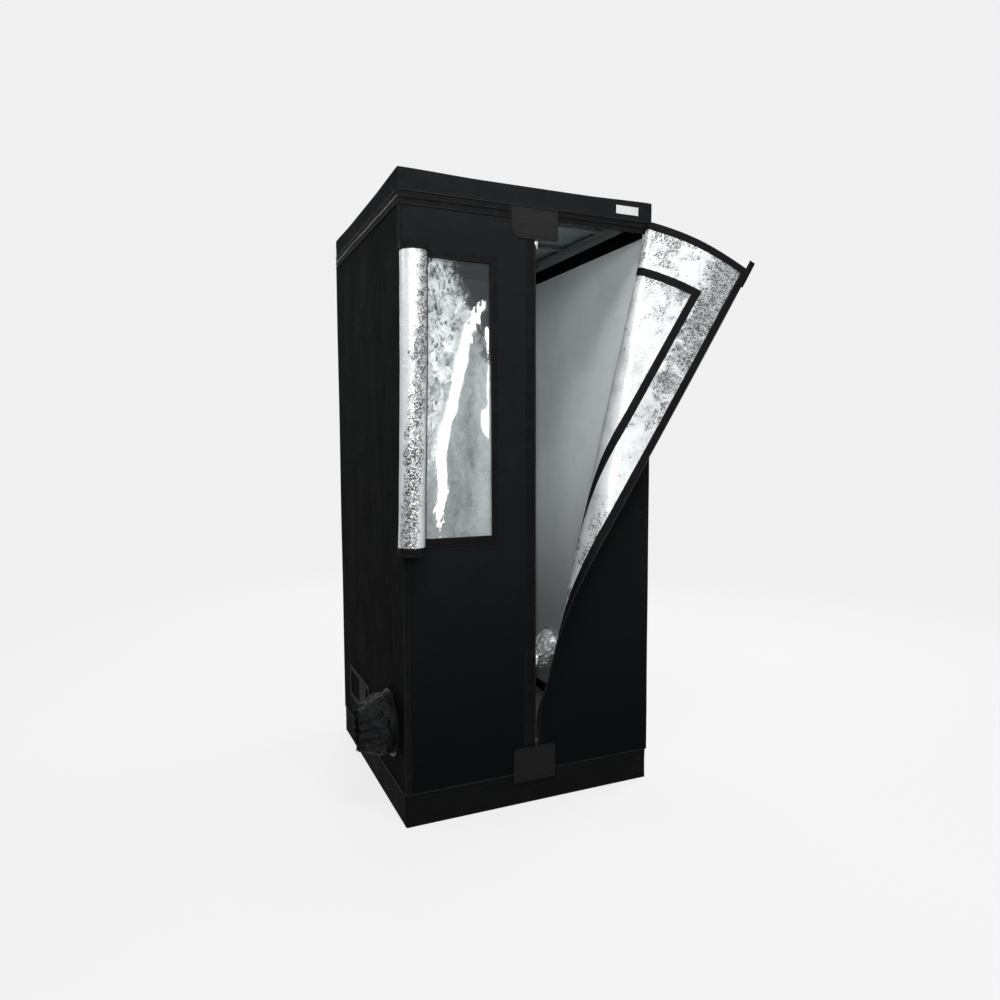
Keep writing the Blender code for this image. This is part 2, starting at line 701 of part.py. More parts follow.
def sock_mesh(name, radius, mouth, length, drop, drift):
    """A cloth tube from a port to its gathered mouth, running along +Z from the port's plane."""
    shape = bmesh.new()
    rings = []
    for ring in range(SOCK_RINGS + 1):
        share = ring / SOCK_RINGS
        ease = share * share * (3 - 2 * share)
        middle = Vector((drift * ease, -drop * ease, length * share))
        belly = math.sin(math.pi * share)
        radius_here = radius + (mouth - radius) * ease ** 1.5 + SOCK_FOLD_DEPTH * belly / 2
        row = []
        for side in range(PORT_SIDES):
            angle = 2 * math.pi * side / PORT_SIDES
            fold = SOCK_FOLD_DEPTH * ease * math.cos(SOCK_FOLDS * angle + 2 * math.sin(angle))
            reach = radius_here - SOCK_FOLD_DEPTH * ease + fold
            row.append(shape.verts.new(middle + Vector((reach * math.cos(angle), reach * math.sin(angle), 0))))
        rings.append(row)
    for lower, upper in zip(rings, rings[1:]):
        for side in range(PORT_SIDES):
            after = (side + 1) % PORT_SIDES
            shape.faces.new((lower[side], lower[after], upper[after], upper[side]))
    mesh = bpy.data.meshes.new(name)
    shape.to_mesh(mesh)
    shape.free()
    smooth(mesh)
    return mesh


def add_sock(name, slot, size, location, rotation):
    item = add_object(name, sock_mesh(name, *size), slot, location, rotation)
    step = item.modifiers.new("cloth", "SOLIDIFY")
    step.thickness = CLOTH
    step.offset = -1
    return item


def make_socks():
    """Each sock starts at the face of its wall; local X is along the wall, local Y is up."""
    left = (LEFT_PORT_RADIUS + CLOTH, LEFT_SOCK_MOUTH, LEFT_SOCK_LENGTH, LEFT_SOCK_DROP, -LEFT_SOCK_DRIFT)
    add_sock("sock_left", "outer_fabric", left, (-HALF_WIDTH - SEAT_GAP, LEFT_PORT_Y, LEFT_PORT_Z),
             (math.pi / 2, 0, -math.pi / 2))
    right = (RIGHT_PORT_RADIUS + CLOTH, RIGHT_SOCK_MOUTH, RIGHT_SOCK_LENGTH, RIGHT_SOCK_DROP, RIGHT_SOCK_DRIFT)
    add_sock("sock_right", "lining", right, (HALF_WIDTH - CLOTH - SEAT_GAP, RIGHT_PORT_Y, RIGHT_PORT_Z),
             (math.pi / 2, 0, -math.pi / 2))
    back = (BACK_PORT_RADIUS + CLOTH, BACK_SOCK_MOUTH, BACK_SOCK_LENGTH, BACK_SOCK_DROP, 0)
    add_sock("sock_back", "outer_fabric", back, (BACK_PORT_X, HALF_DEPTH + SEAT_GAP, BACK_PORT_Z),
             (math.pi / 2, 0, math.pi))


# Left leaf and its window

def window_ring(side, inset=0.0):
    """The window's outline on one leaf, drawn in by an inset; side is -1 for the left leaf."""
    near = side * (WINDOW_OUTER_NEAR + inset)
    far = side * (WINDOW_OUTER_FAR - inset)
    return rectangle(min(near, far), WINDOW_BOTTOM + inset, max(near, far), WINDOW_TOP - inset)


def make_left_leaf():
    leaf = rectangle(-LEAF_SIDE, LEAF_BOTTOM, ZIP_X - ZIP_HALF_GAP, LEAF_TOP)
    opening = window_ring(-1, WINDOW_FRAME_WIDTH)
    add_front_panel("door_left", "leaf_fabric", [leaf, opening], CLOTH, LEAF_MIDDLE_Y)
    film = window_ring(-1, WINDOW_FRAME_WIDTH - FILM_LAP)
    film_y = FRONT_FACE + CLOTH + SEAT_GAP + FILM_THICKNESS / 2
    add_front_panel("window_left_film", "window_film", [film], FILM_THICKNESS, film_y)
    frame_y = FRONT_FACE - SEAT_GAP - WINDOW_FRAME_THICKNESS / 2
    add_front_panel("window_left_frame", "webbing", [window_ring(-1), opening], WINDOW_FRAME_THICKNESS, frame_y)


def make_left_cover_roll():
    """The rolled-up window cover: a tail lying on the frame's webbing, then a little over one turn."""
    back_face = FRONT_FACE - SEAT_GAP - WINDOW_FRAME_THICKNESS - SEAT_GAP
    centre = (ROLL_CENTRE_X, back_face - ROLL_OUTER_RADIUS)
    tail = -WINDOW_OUTER_FAR + TAIL_INSET
    outer = [(tail, back_face)]
    inner = [(tail, back_face - CLOTH)]
    for i in range(ROLL_STEPS + 1):
        share = i / ROLL_STEPS
        angle = math.pi / 2 - ROLL_WRAP * share
        radius = ROLL_OUTER_RADIUS + (ROLL_INNER_RADIUS - ROLL_OUTER_RADIUS) * share
        outer.append((centre[0] + radius * math.cos(angle), centre[1] + radius * math.sin(angle)))
        thin = radius - CLOTH
        inner.append((centre[0] + thin * math.cos(angle), centre[1] + thin * math.sin(angle)))
    curve = outline_curve("window_left_roll", [outer + inner[::-1]], ROLL_TOP - ROLL_BOTTOM)
    add_object("window_left_roll", curve, "lining", (0, 0, (ROLL_TOP + ROLL_BOTTOM) / 2))


# Right leaf: flat lower part, rolled fold, folded-out flap

FREE_EDGE_X = ZIP_X + ZIP_HALF_GAP
FOLD_FOOT = Vector((FREE_EDGE_X + FOLD_FOOT_OFFSET, 0, ZIP_FOOT))
FOLD_HEAD = Vector((HALF_WIDTH - FOLD_TOP_INSET, 0, LEAF_TOP))
FOLD_LENGTH = (FOLD_HEAD - FOLD_FOOT).length
ALONG_FOLD = (FOLD_HEAD - FOLD_FOOT) / FOLD_LENGTH
ACROSS_FOLD = Vector((-ALONG_FOLD.z, 0, ALONG_FOLD.x))
OUTWARD = Vector((0, -1, 0))


def fold_x(z):
    """Where the fold line stands at a height."""
    return FOLD_FOOT.x + (z - FOLD_FOOT.z) * ALONG_FOLD.x / ALONG_FOLD.z


def roll_radius(along, z):
    """The roll's radius at a distance along the fold line; it opens out to flat over the zip's foot."""
    share = min(max(along / FOLD_LENGTH, 0.0), 1.0)
    ease = min(max((z - ZIP_FOOT - ROLL_FLAT_HEIGHT) / ROLL_EASE_HEIGHT, EASE_FLOOR_SHARE), 1.0)
    ease = ease * ease * (3 - 2 * ease)
    return (ROLL_RADIUS_FOOT + (ROLL_RADIUS_TOP - ROLL_RADIUS_FOOT) * share) / ease


def folded_point(x, z, lift=0.0):
    """Where a point of the flat leaf goes when the leaf is rolled over its fold line.

    lift moves the point off the cloth's middle towards its lining side.
    """
    flat = Vector((x, 0, z)) - FOLD_FOOT
    along = flat.dot(ALONG_FOLD)
    across = flat.dot(ACROSS_FOLD)
    if across <= 0:
        return Vector((x, LEAF_MIDDLE_Y, z)) - OUTWARD * lift
    radius = roll_radius(along, z)
    arc = radius * ROLL_TURN
    angle = min(across, arc) / radius
    rest = max(across - arc, 0.0)
    final = angle + rest / FLAP_BEND_RADIUS
    in_plane = radius * math.sin(angle) + FLAP_BEND_RADIUS * (math.sin(final) - math.sin(angle))
    out = radius * (1 - math.cos(angle)) + FLAP_BEND_RADIUS * (math.cos(angle) - math.cos(final))
    point = FOLD_FOOT + ALONG_FOLD * along + ACROSS_FOLD * in_plane + OUTWARD * out
    point.y += LEAF_MIDDLE_Y
    lining_side = ACROSS_FOLD * math.sin(final) - OUTWARD * math.cos(final)
    return point + lining_side * lift


def roll_edge_x(z, extra):
    """The flat x at which the rolled part ends at a height, a little past the arc."""
    x = fold_x(z)
    for _ in range(EDGE_SEARCH_STEPS):
        along = (Vector((x, 0, z)) - FOLD_FOOT).dot(ALONG_FOLD)
        x = fold_x(z) - (roll_radius(along, z) * ROLL_TURN + extra) / -ACROSS_FOLD.x
    return x


def patch_mesh(name, rows, lift=0.0, keep=None):
    """An open surface through rows of flat points, rolled with the leaf.

    keep picks the cells of the grid, by row and column, that the surface covers.
    """
    shape = bmesh.new()
    grid = [[shape.verts.new(folded_point(x, z, lift)) for x, z in row] for row in rows]
    for i, (lower, upper) in enumerate(zip(grid, grid[1:])):
        for j in range(len(lower) - 1):
            if keep is None or keep(i, j):
                shape.faces.new((lower[j], lower[j + 1], upper[j + 1], upper[j]))
    loose = [vertex for vertex in shape.verts if not vertex.link_faces]
    bmesh.ops.delete(shape, geom=loose, context="VERTS")
    mesh = bpy.data.meshes.new(name)
    shape.to_mesh(mesh)
    shape.free()
    smooth(mesh)
    return mesh


def row_between(start, end, z, count):
    return [(start + (end - start) * i / count, z) for i in range(count + 1)]


def heights(bottom, top, count):
    return [bottom + (top - bottom) * i / count for i in range(count + 1)]


def add_cloth(name, slot, mesh, thickness, location=(0, 0, 0)):
    item = add_object(name, mesh, slot, location)
    step = item.modifiers.new("cloth", "SOLIDIFY")
    step.thickness = thickness
    step.offset = 0
    step.use_even_offset = True
    return item


def make_right_lower():
    outline = [
        (FREE_EDGE_X, LEAF_BOTTOM),
        (LEAF_SIDE, LEAF_BOTTOM),
        (LEAF_SIDE, LEAF_TOP),
        (FOLD_HEAD.x, LEAF_TOP),
        (FOLD_FOOT.x, ZIP_FOOT),
        (FREE_EDGE_X, ZIP_FOOT),
    ]
    add_front_panel("door_right_lower", "leaf_fabric", [outline], CLOTH, LEAF_MIDDLE_Y)


def make_right_roll():
    """The rolled part runs from the fold line to the end of its arc, or to the free edge lower down."""
    rows = []
    for z in [ZIP_FOOT + SEAT_GAP] + heights(ZIP_FOOT + ROLL_FLAT_HEIGHT, LEAF_TOP, ROLL_ROWS):
        start = fold_x(z) - SEAT_GAP / -ACROSS_FOLD.x
        end = max(roll_edge_x(z, ROLL_OVERLAP), FREE_EDGE_X)
        rows.append(row_between(end, start, z, ROLL_COLUMNS))
    add_cloth("door_right_roll", "leaf_fabric", patch_mesh("door_right_roll", rows), CLOTH)


def fold_pivot():
    """The middle line of the roll, about which the flap swings: its foot and its head."""
    foot = FOLD_FOOT + OUTWARD * ROLL_RADIUS_FOOT
    head = FOLD_HEAD + OUTWARD * ROLL_RADIUS_TOP
    foot.y += LEAF_MIDDLE_Y
    head.y += LEAF_MIDDLE_Y
    return foot, head


def flap_rows():
    """The flap's flat points, with grid lines along its binding and along the window's webbing."""
    webbing_z = WINDOW_TOP - WINDOW_FRAME_WIDTH
    levels = heights(ZIP_FOOT + FLAP_TIP_HEIGHT, webbing_z, FLAP_ROWS)
    levels += [WINDOW_TOP, LEAF_TOP - TOP_BINDING_WIDTH, LEAF_TOP]
    near_share, far_share = NARROW_FLAP_SHARES
    rows = []
    for z in levels:
        free = FREE_EDGE_X
        end = roll_edge_x(z, ROLL_OVERLAP + SEAT_GAP)
        bound = free + min(EDGE_BINDING_WIDTH, (end - free) / 2)
        outer = min(WINDOW_OUTER_NEAR, bound + (end - bound) * near_share)
        inner = min(WINDOW_OUTER_NEAR + WINDOW_FRAME_WIDTH, bound + (end - bound) * far_share)
        row = [(free, z)]
        row += row_between(bound, outer, z, FLAP_NEAR_COLUMNS)
        row += row_between(inner, end, z, FLAP_FAR_COLUMNS)
        rows.append(row)
    return rows


def make_right_flap():
    """The flap, the binding round its free edge and top, and the window's webbing that lies on it."""
    foot, head = fold_pivot()
    pivot = add_pivot("flap_pivot", (foot + head) / 2)
    rows = flap_rows()
    top_row = len(rows) - 2
    webbing_row = FLAP_ROWS
    webbing_column = FLAP_NEAR_COLUMNS + 1
    webbing_edge = WINDOW_OUTER_NEAR + WINDOW_FRAME_WIDTH

    def on_binding(i, j):
        return i == top_row or (j == 0 and i >= BINDING_FOOT_ROWS)

    def on_webbing(i, j):
        upright = j == webbing_column and i <= webbing_row and rows[i][j + 1][0] > webbing_edge - SEAT_GAP
        return upright or (i == webbing_row and j > webbing_column)

    flap = add_cloth("door_right_flap", "leaf_fabric", patch_mesh("door_right_flap", rows), CLOTH)
    lift = CLOTH + SEAT_GAP
    binding_mesh = patch_mesh("door_right_binding", rows, lift, on_binding)
    binding = add_cloth("door_right_binding", "webbing", binding_mesh, CLOTH)
    webbing_mesh = patch_mesh("window_right_frame_flap", rows, lift, on_webbing)
    webbing = add_cloth("window_right_frame_flap", "webbing", webbing_mesh, CLOTH)
    for item in (flap, binding, webbing):
        item.parent = pivot
        item.matrix_parent_inverse.translation = -pivot.location


def make_right_window():
    """The webbing frame and closed cover of the right window, where its leaf is still flat."""
    width = WINDOW_FRAME_WIDTH
    far = WINDOW_OUTER_FAR
    bottom = WINDOW_BOTTOM
    top = WINDOW_TOP
    clear = SEAT_GAP / -ACROSS_FOLD.x
    outline = [
        (fold_x(bottom) + clear, bottom),
        (far, bottom),
        (far, top),
        (fold_x(top) + clear, top),
        (fold_x(top - width) + clear, top - width),
        (far - width, top - width),
        (far - width, bottom + width),
        (fold_x(bottom + width) + clear, bottom + width),
    ]
    frame_y = FRONT_FACE - SEAT_GAP - WINDOW_FRAME_THICKNESS / 2
    add_front_panel("window_right_frame", "webbing", [outline], WINDOW_FRAME_THICKNESS, frame_y)
    inner_bottom = bottom + width + SEAT_GAP
    inner_top = top - width - SEAT_GAP
    inner_far = far - width - SEAT_GAP
    cover = [
        (fold_x(inner_bottom) + clear, inner_bottom),
        (inner_far, inner_bottom),
        (inner_far, inner_top),
        (fold_x(inner_top) + clear, inner_top),
    ]
    cover_y = FRONT_FACE - SEAT_GAP - COVER_THICKNESS / 2
    add_front_panel("window_right_cover", "leaf_fabric", [cover], COVER_THICKNESS, cover_y)


# Zip flaps, coil and sliders

def make_zip_flaps():
    """Each flap is sewn along one edge and turns about that edge."""
    flap_y = FRONT_FACE - HINGE_GAP - CLOTH / 2
    pivot_z = TOP_FLAP_TOP - CLOTH / 2
    pivot = add_pivot("top_flap_pivot", (0, flap_y, pivot_z))
    outline = rounded_rectangle(TOP_FLAP_LEFT, TOP_FLAP_BOTTOM, TOP_FLAP_RIGHT, TOP_FLAP_TOP,
                                (TOP_FLAP_NEAR_ROUND, TOP_FLAP_FAR_ROUND, 0, 0))
    flap = add_front_panel("zip_flap_top", "outer_fabric", [outline], CLOTH, flap_y)
    flap.parent = pivot
    flap.matrix_parent_inverse.translation = -pivot.location
    pivot = add_pivot("bottom_flap_pivot", (0, flap_y, BOTTOM_FLAP_FOOT + CLOTH / 2))
    outline = rounded_rectangle(BOTTOM_FLAP_LEFT, BOTTOM_FLAP_FOOT, BOTTOM_FLAP_RIGHT, BOTTOM_FLAP_TOP,
                                (0, 0, BOTTOM_FLAP_ROUND, BOTTOM_FLAP_ROUND))
    flap = add_front_panel("zip_flap_bottom", "outer_fabric", [outline], CLOTH, flap_y)
    flap.parent = pivot
    flap.matrix_parent_inverse.translation = -pivot.location


def make_coil():
    right = ZIP_X - ZIP_HALF_GAP + SEAT_GAP + COIL_WIDTH
    add_box("zip_coil_left", "zip_coil", (right - COIL_WIDTH, LEAF_MIDDLE_Y - COIL_DEPTH / 2, LEAF_BOTTOM),
            (right, LEAF_MIDDLE_Y + COIL_DEPTH / 2, LEAF_TOP - COIL_TOP_MARGIN))


def make_slider(name, bottom, face, bridge_up):
    """A slider on the left coil: two plates, the bridge between them, two ears and a pin for the pull.

    face is -1 where the pull hangs outside and 1 where it hangs inside.
    """
    coil_right = ZIP_X - ZIP_HALF_GAP + SEAT_GAP + COIL_WIDTH
    plate_near = COIL_DEPTH / 2 + SEAT_GAP
    plate_far = plate_near + SLIDER_PLATE
    left = ZIP_X - SLIDER_WIDTH / 2
    right = ZIP_X + SLIDER_WIDTH / 2
    top = bottom + SLIDER_LENGTH
    middle_y = LEAF_MIDDLE_Y
    pivot_y = middle_y + face * (plate_far + EAR_HEIGHT / 2 + PIN_DIAMETER / 2)
    pivot_z = (bottom + top) / 2
    body = add_box(name, "zip_metal", (left, middle_y - plate_far, bottom), (right, middle_y - plate_near, top),
                   SLIDER_EDGE)
    back = add_box(name + "_plate", None, (left, middle_y + plate_near, bottom),
                   (right, middle_y + plate_far, top), SLIDER_EDGE)
    bridge_left = coil_right + SEAT_GAP
    bridge_bottom = top - SLIDER_BRIDGE_LENGTH if bridge_up else bottom + SLIDER_EDGE
    bridge = add_box(name + "_bridge", None,
                     (bridge_left, middle_y - plate_near - SLIDER_PLATE / 2, bridge_bottom),
                     (bridge_left + SLIDER_BRIDGE, middle_y + plate_near + SLIDER_PLATE / 2,
                      bridge_bottom + SLIDER_BRIDGE_LENGTH - SLIDER_EDGE))
    boolean(body, bridge, "UNION")
    boolean(body, back, "UNION")
    half_pull = PULL_WIDTH / 2 + PULL_EYE_CLEARANCE
    for side in (-1, 1):
        inner = ZIP_X + side * half_pull
        outer = inner + side * EAR_THICKNESS
        near = middle_y + face * (plate_far - SLIDER_PLATE / 2)
        far = middle_y + face * (plate_far + EAR_HEIGHT)
        ear = add_box(f"{name}_ear_{'left' if side < 0 else 'right'}", None,
                      (min(inner, outer), min(near, far), pivot_z - EAR_LENGTH / 2),
                      (max(inner, outer), max(near, far), pivot_z + EAR_LENGTH / 2))
        boolean(body, ear, "UNION")
    half_pin = half_pull + EAR_THICKNESS / 2
    radius = PIN_DIAMETER / 2
    profile = [(0, half_pin), (radius, half_pin), (radius, -half_pin), (0, -half_pin)]
    pin = add_object(name + "_pin", turned_mesh(name + "_pin", profile, SPIGOT_SIDES, closed=False), None,
                     (ZIP_X, pivot_y, pivot_z), axis_rotation("x"))
    boolean(body, pin, "UNION")
    return Vector((ZIP_X, pivot_y, pivot_z))


def make_pull(name, centre):
    """A tab with an eye round the slider's pin, hanging straight down."""
    pivot = add_pivot(name + "_pivot", centre)
    eye = PIN_DIAMETER / 2 + PULL_EYE_CLEARANCE
    half = PULL_THICKNESS / 2
    neck = math.asin(half / PULL_EYE_RADIUS)
    outline = arc_points((0, 0), PULL_EYE_RADIUS, neck - math.pi / 2, 1.5 * math.pi - neck, SPIGOT_SIDES)
    outline += [(-half, -PULL_LENGTH), (half, -PULL_LENGTH)]
    curve = outline_curve(name, [outline, circle_points((0, 0), eye, SPIGOT_SIDES)], PULL_WIDTH)
    tab = add_object(name, curve, "zip_metal", (0, 0, 0), (math.pi / 2, 0, math.pi / 2))
    tab.parent = pivot


def make_sliders():
    upper = make_slider("zip_slider_upper", UPPER_SLIDER_TOP - SLIDER_LENGTH, -1, bridge_up=True)
    make_pull("zip_pull_upper", upper)
    lower = make_slider("zip_slider_lower", LOWER_SLIDER_BOTTOM, 1, bridge_up=False)
    make_pull("zip_pull_lower", lower)


def make_tent():
    make_connectors()
    make_rails()
    make_posts()
    make_hanging_bars()
    make_base_and_band()
    make_cap()
    make_piping()
    make_seam_binding()
    make_side_walls()
    make_back_wall()
    make_vent()
    make_tray()
    make_socks()
    make_left_leaf()
    make_left_cover_roll()
    make_right_lower()
    make_right_roll()
    make_right_flap()
    make_right_window()
    make_zip_flaps()
    make_coil()
    make_sliders()
    bpy.context.view_layer.update()
    print("parts:", sum(1 for item in parts.objects if item.type != "EMPTY"))


make_tent()
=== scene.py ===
import json
import math

import bmesh
import bpy
from mathutils import Matrix, Vector, noise

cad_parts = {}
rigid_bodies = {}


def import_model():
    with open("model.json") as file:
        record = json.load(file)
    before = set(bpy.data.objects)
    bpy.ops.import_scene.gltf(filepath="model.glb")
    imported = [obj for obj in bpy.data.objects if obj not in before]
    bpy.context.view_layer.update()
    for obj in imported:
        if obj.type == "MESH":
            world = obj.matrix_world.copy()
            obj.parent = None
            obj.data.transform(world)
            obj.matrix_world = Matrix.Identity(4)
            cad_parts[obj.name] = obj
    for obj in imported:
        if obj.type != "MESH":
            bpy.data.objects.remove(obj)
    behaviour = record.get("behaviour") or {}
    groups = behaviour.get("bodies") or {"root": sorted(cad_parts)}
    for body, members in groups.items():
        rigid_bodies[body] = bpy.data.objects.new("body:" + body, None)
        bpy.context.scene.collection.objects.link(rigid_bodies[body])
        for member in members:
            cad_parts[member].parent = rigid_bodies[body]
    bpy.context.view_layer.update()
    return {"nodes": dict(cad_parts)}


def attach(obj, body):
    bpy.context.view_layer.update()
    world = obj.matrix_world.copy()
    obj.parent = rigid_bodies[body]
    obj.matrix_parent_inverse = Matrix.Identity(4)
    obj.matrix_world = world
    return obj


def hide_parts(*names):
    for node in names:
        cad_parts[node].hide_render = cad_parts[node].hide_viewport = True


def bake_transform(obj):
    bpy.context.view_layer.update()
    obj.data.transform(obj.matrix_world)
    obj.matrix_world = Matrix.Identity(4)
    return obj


for spare in list(bpy.data.objects):
    bpy.data.objects.remove(spare, do_unlink=True)
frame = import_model()
print("frame loaded:", len(frame["nodes"]), "nodes")

# Sizes that many pieces share, in metres
tent = {
    "half": 0.400,          # half of the width and of the depth
    "height": 1.800,
    "cloth": 0.0012,        # thickness that the cloth is shown with
    "bandTop": 0.095,
    "capBottom": 1.743,
    "front": -0.400,
    "leafBottom": 0.0953,
    "leafTop": 1.7427,
    "leafSide": 0.3982,
    "corner": 0.006,        # how far the upright corners are rounded
}
window = {"near": 0.111, "far": 0.387, "bottom": 0.790, "top": 1.602, "webbing": 0.025, "lap": 0.010}
ports = {
    "left": {"along": -0.235, "up": 0.250, "radius": 0.098},
    "right": {"along": 0.262, "up": 0.262, "radius": 0.080},
    "back": {"along": 0.0, "up": 1.540, "radius": 0.105},
}


# Helpers for shaping
def activate(piece):
    if bpy.context.object and bpy.context.object.mode != "OBJECT":
        bpy.ops.object.mode_set(mode="OBJECT")
    bpy.ops.object.select_all(action="DESELECT")
    piece.select_set(True)
    bpy.context.view_layer.objects.active = piece


def openEdit(piece, kind="FACE"):
    activate(piece)
    bpy.ops.object.mode_set(mode="EDIT")
    bpy.ops.mesh.select_mode(type=kind)
    bpy.ops.mesh.select_all(action="SELECT")


def closeEdit():
    bpy.ops.object.mode_set(mode="OBJECT")


def dropFaces(piece, test):
    openEdit(piece)
    bpy.ops.mesh.select_all(action="DESELECT")
    mesh = bmesh.from_edit_mesh(piece.data)
    for face in mesh.faces:
        face.select_set(bool(test(face.calc_center_median(), face.normal)))
    bmesh.update_edit_mesh(piece.data)
    bpy.ops.mesh.delete(type="FACE")
    closeEdit()


def weld(piece, reach=0.00002):
    openEdit(piece)
    bpy.ops.mesh.remove_doubles(threshold=reach)
    closeEdit()


def faceOutwards(piece):
    openEdit(piece)
    bpy.ops.mesh.normals_make_consistent(inside=False)
    closeEdit()


def applyModifiers(piece):
    activate(piece)
    for name in [step.name for step in piece.modifiers]:
        bpy.ops.object.modifier_apply(modifier=name)


def placeInMesh(piece):
    activate(piece)
    bpy.ops.object.transform_apply(location=True, rotation=True, scale=True)


def smoothShade(piece, angle=50):
    activate(piece)
    bpy.ops.object.shade_smooth_by_angle(angle=math.radians(angle))


def paint(piece, *looks):
    piece.data.materials.clear()
    for look in looks:
        piece.data.materials.append(bpy.data.materials[look])


def thicken(piece, thickness, offset=-1.0, innerSlot=0):
    step = piece.modifiers.new("thickness", "SOLIDIFY")
    step.thickness = thickness
    step.offset = offset
    step.use_even_offset = False
    step.material_offset = innerSlot
    applyModifiers(piece)


def finishSheet(piece, looks, thickness, offset=-1.0, angle=50):
    # looks names the outer side's look and, where the inner side has its own, that one too
    paint(piece, *looks)
    thicken(piece, thickness, offset, len(looks) - 1)
    smoothShade(piece, angle)


def cutWith(piece, cutter):
    step = piece.modifiers.new("cut", "BOOLEAN")
    step.operation = "DIFFERENCE"
    step.solver = "EXACT"
    step.object = cutter
    applyModifiers(piece)
    bpy.data.objects.remove(cutter, do_unlink=True)


def settle(piece, slot, *nodes):
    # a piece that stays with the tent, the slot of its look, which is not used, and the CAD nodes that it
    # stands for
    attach(piece, "tent")
    if nodes:
        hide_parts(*nodes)


def smoothStep(value):
    value = min(max(value, 0.0), 1.0)
    return value * value * (3 - 2 * value)


def wobble(x, y, z=0.0):
    return noise.noise(Vector((x, y, z)))


def ridge(x, y, z=0.0):
    return 1 - 2 * abs(wobble(x, y, z))


def spread(low, high, share):
    return low + (high - low) * share


def laidGrid(name, columns, rows, place):
    # place turns the grid's shares (0 to 1 both ways) into a point and a UV in metres of cloth
    bpy.ops.mesh.primitive_grid_add(x_subdivisions=columns, y_subdivisions=rows, size=1,
                                    location=(0.5, 0.5, 0))
    piece = bpy.context.object
    piece.name = name
    placeInMesh(piece)
    flat = []
    for vertex in piece.data.vertices:
        point, uv = place(vertex.co.x, vertex.co.y)
        vertex.co = point
        flat.append(uv)
    layer = piece.data.uv_layers[0]
    for loop in piece.data.loops:
        layer.data[loop.index].uv = flat[loop.vertex_index]
    return piece


def edgeUv(along, across, width):
    # tape and webbing: u runs along it, v is the distance in from its nearer edge
    return along, min(across, width - across)


def tubeAlong(name, points, radius, look, closed=False, resolution=2):
    curve = bpy.data.curves.new(name, "CURVE")
    curve.dimensions = "3D"
    curve.bevel_depth = radius
    curve.bevel_resolution = resolution
    curve.use_fill_caps = not closed
    spline = curve.splines.new("POLY")
    spline.points.add(len(points) - 1)
    for place, point in zip(points, spline.points):
        point.co = (*place, 1)
    spline.use_cyclic_u = closed
    piece = bpy.data.objects.new(name, curve)
    bpy.context.scene.collection.objects.link(piece)
    activate(piece)
    bpy.ops.object.convert(target="MESH")
    piece = bpy.context.object
    piece.name = name
    smoothShade(piece, 60)
    paint(piece, look)
    return piece


def aroundTent(distance, half, corner):
    # a point of the tent's rounded square plan and its outward direction, leftwards from the front's middle
    straight = 2 * (half - corner)
    side = straight + corner * math.pi / 2
    distance = (distance + straight / 2) % (4 * side)
    which = int(distance // side)
    rest = distance - which * side
    if rest <= straight:
        x, y = (half - corner) - rest, -half
        outX, outY = 0.0, -1.0
    else:
        angle = (rest - straight) / corner
        x = -(half - corner) - corner * math.sin(angle)
        y = -(half - corner) - corner * math.cos(angle)
        outX, outY = -math.sin(angle), -math.cos(angle)
    for _ in range(which):
        x, y = y, -x
        outX, outY = outY, -outX
    return Vector((x, y, 0)), Vector((outX, outY, 0))


def planLength(half, corner):
    return 4 * (2 * (half - corner) + corner * math.pi / 2)


# Helpers for materials: each adds nodes to a tree, and a value is a number or another node's output
def addNode(tree, kind, **settings):
    node = tree.nodes.new(kind)
    for key, value in settings.items():
        setattr(node, key, value)
    return node


def feed(tree, socket, value):
    if isinstance(value, bpy.types.NodeSocket):
        tree.links.new(value, socket)
    else:
        socket.default_value = value


def calc(tree, operation, first, second=0.0):
    node = addNode(tree, "ShaderNodeMath", operation=operation)
    feed(tree, node.inputs[0], first)
    feed(tree, node.inputs[1], second)
    return node.outputs[0]


def times(tree, first, second):
    return calc(tree, "MULTIPLY", first, second)


def plus(tree, first, *others):
    for other in others:
        first = calc(tree, "ADD", first, other)
    return first


def minus(tree, first, second):
    return calc(tree, "SUBTRACT", first, second)


def awayFrom(tree, value, middle=0.5):
    return calc(tree, "ABSOLUTE", minus(tree, value, middle))


def remap(tree, value, low, high, toLow=0.0, toHigh=1.0):
    node = addNode(tree, "ShaderNodeMapRange", clamp=True, interpolation_type="SMOOTHSTEP")
    for socket, amount in zip(node.inputs, (value, low, high, toLow, toHigh)):
        feed(tree, socket, amount)
    return node.outputs[0]


def blendColour(tree, share, first, second):
    node = addNode(tree, "ShaderNodeMix", data_type="RGBA")
    for index, value in ((0, share), (6, first), (7, second)):
        if isinstance(value, tuple) and len(value) == 3:
            value = (*value, 1)
        feed(tree, node.inputs[index], value)
    return node.outputs[2]


def dimmed(colour, share):
    return tuple(min(part * share, 1.0) for part in colour)


def noiseNode(tree, vector, scale, detail=3.0, roughness=0.55, distortion=0.0):
    node = addNode(tree, "ShaderNodeTexNoise")
    labels = ("Vector", "Scale", "Detail", "Roughness", "Distortion")
    for label, value in zip(labels, (vector, scale, detail, roughness, distortion)):
        feed(tree, node.inputs[label], value)
    return node.outputs[0]


def cells(tree, vector, scale):
    # distance to the nearest cell's middle, and two random values for each cell
    node = addNode(tree, "ShaderNodeTexVoronoi", feature="F1")
    feed(tree, node.inputs["Vector"], vector)
    feed(tree, node.inputs["Scale"], scale)
    parts = addNode(tree, "ShaderNodeSeparateColor")
    tree.links.new(node.outputs["Color"], parts.inputs[0])
    return node.outputs["Distance"], parts.outputs[0], parts.outputs[1]


def stretched(tree, vector, scale):
    node = addNode(tree, "ShaderNodeMapping")
    feed(tree, node.inputs["Vector"], vector)
    node.inputs["Scale"].default_value = scale
    return node.outputs[0]


def splitVector(tree, vector):
    parts = addNode(tree, "ShaderNodeSeparateXYZ")
    tree.links.new(vector, parts.inputs[0])
    return parts.outputs


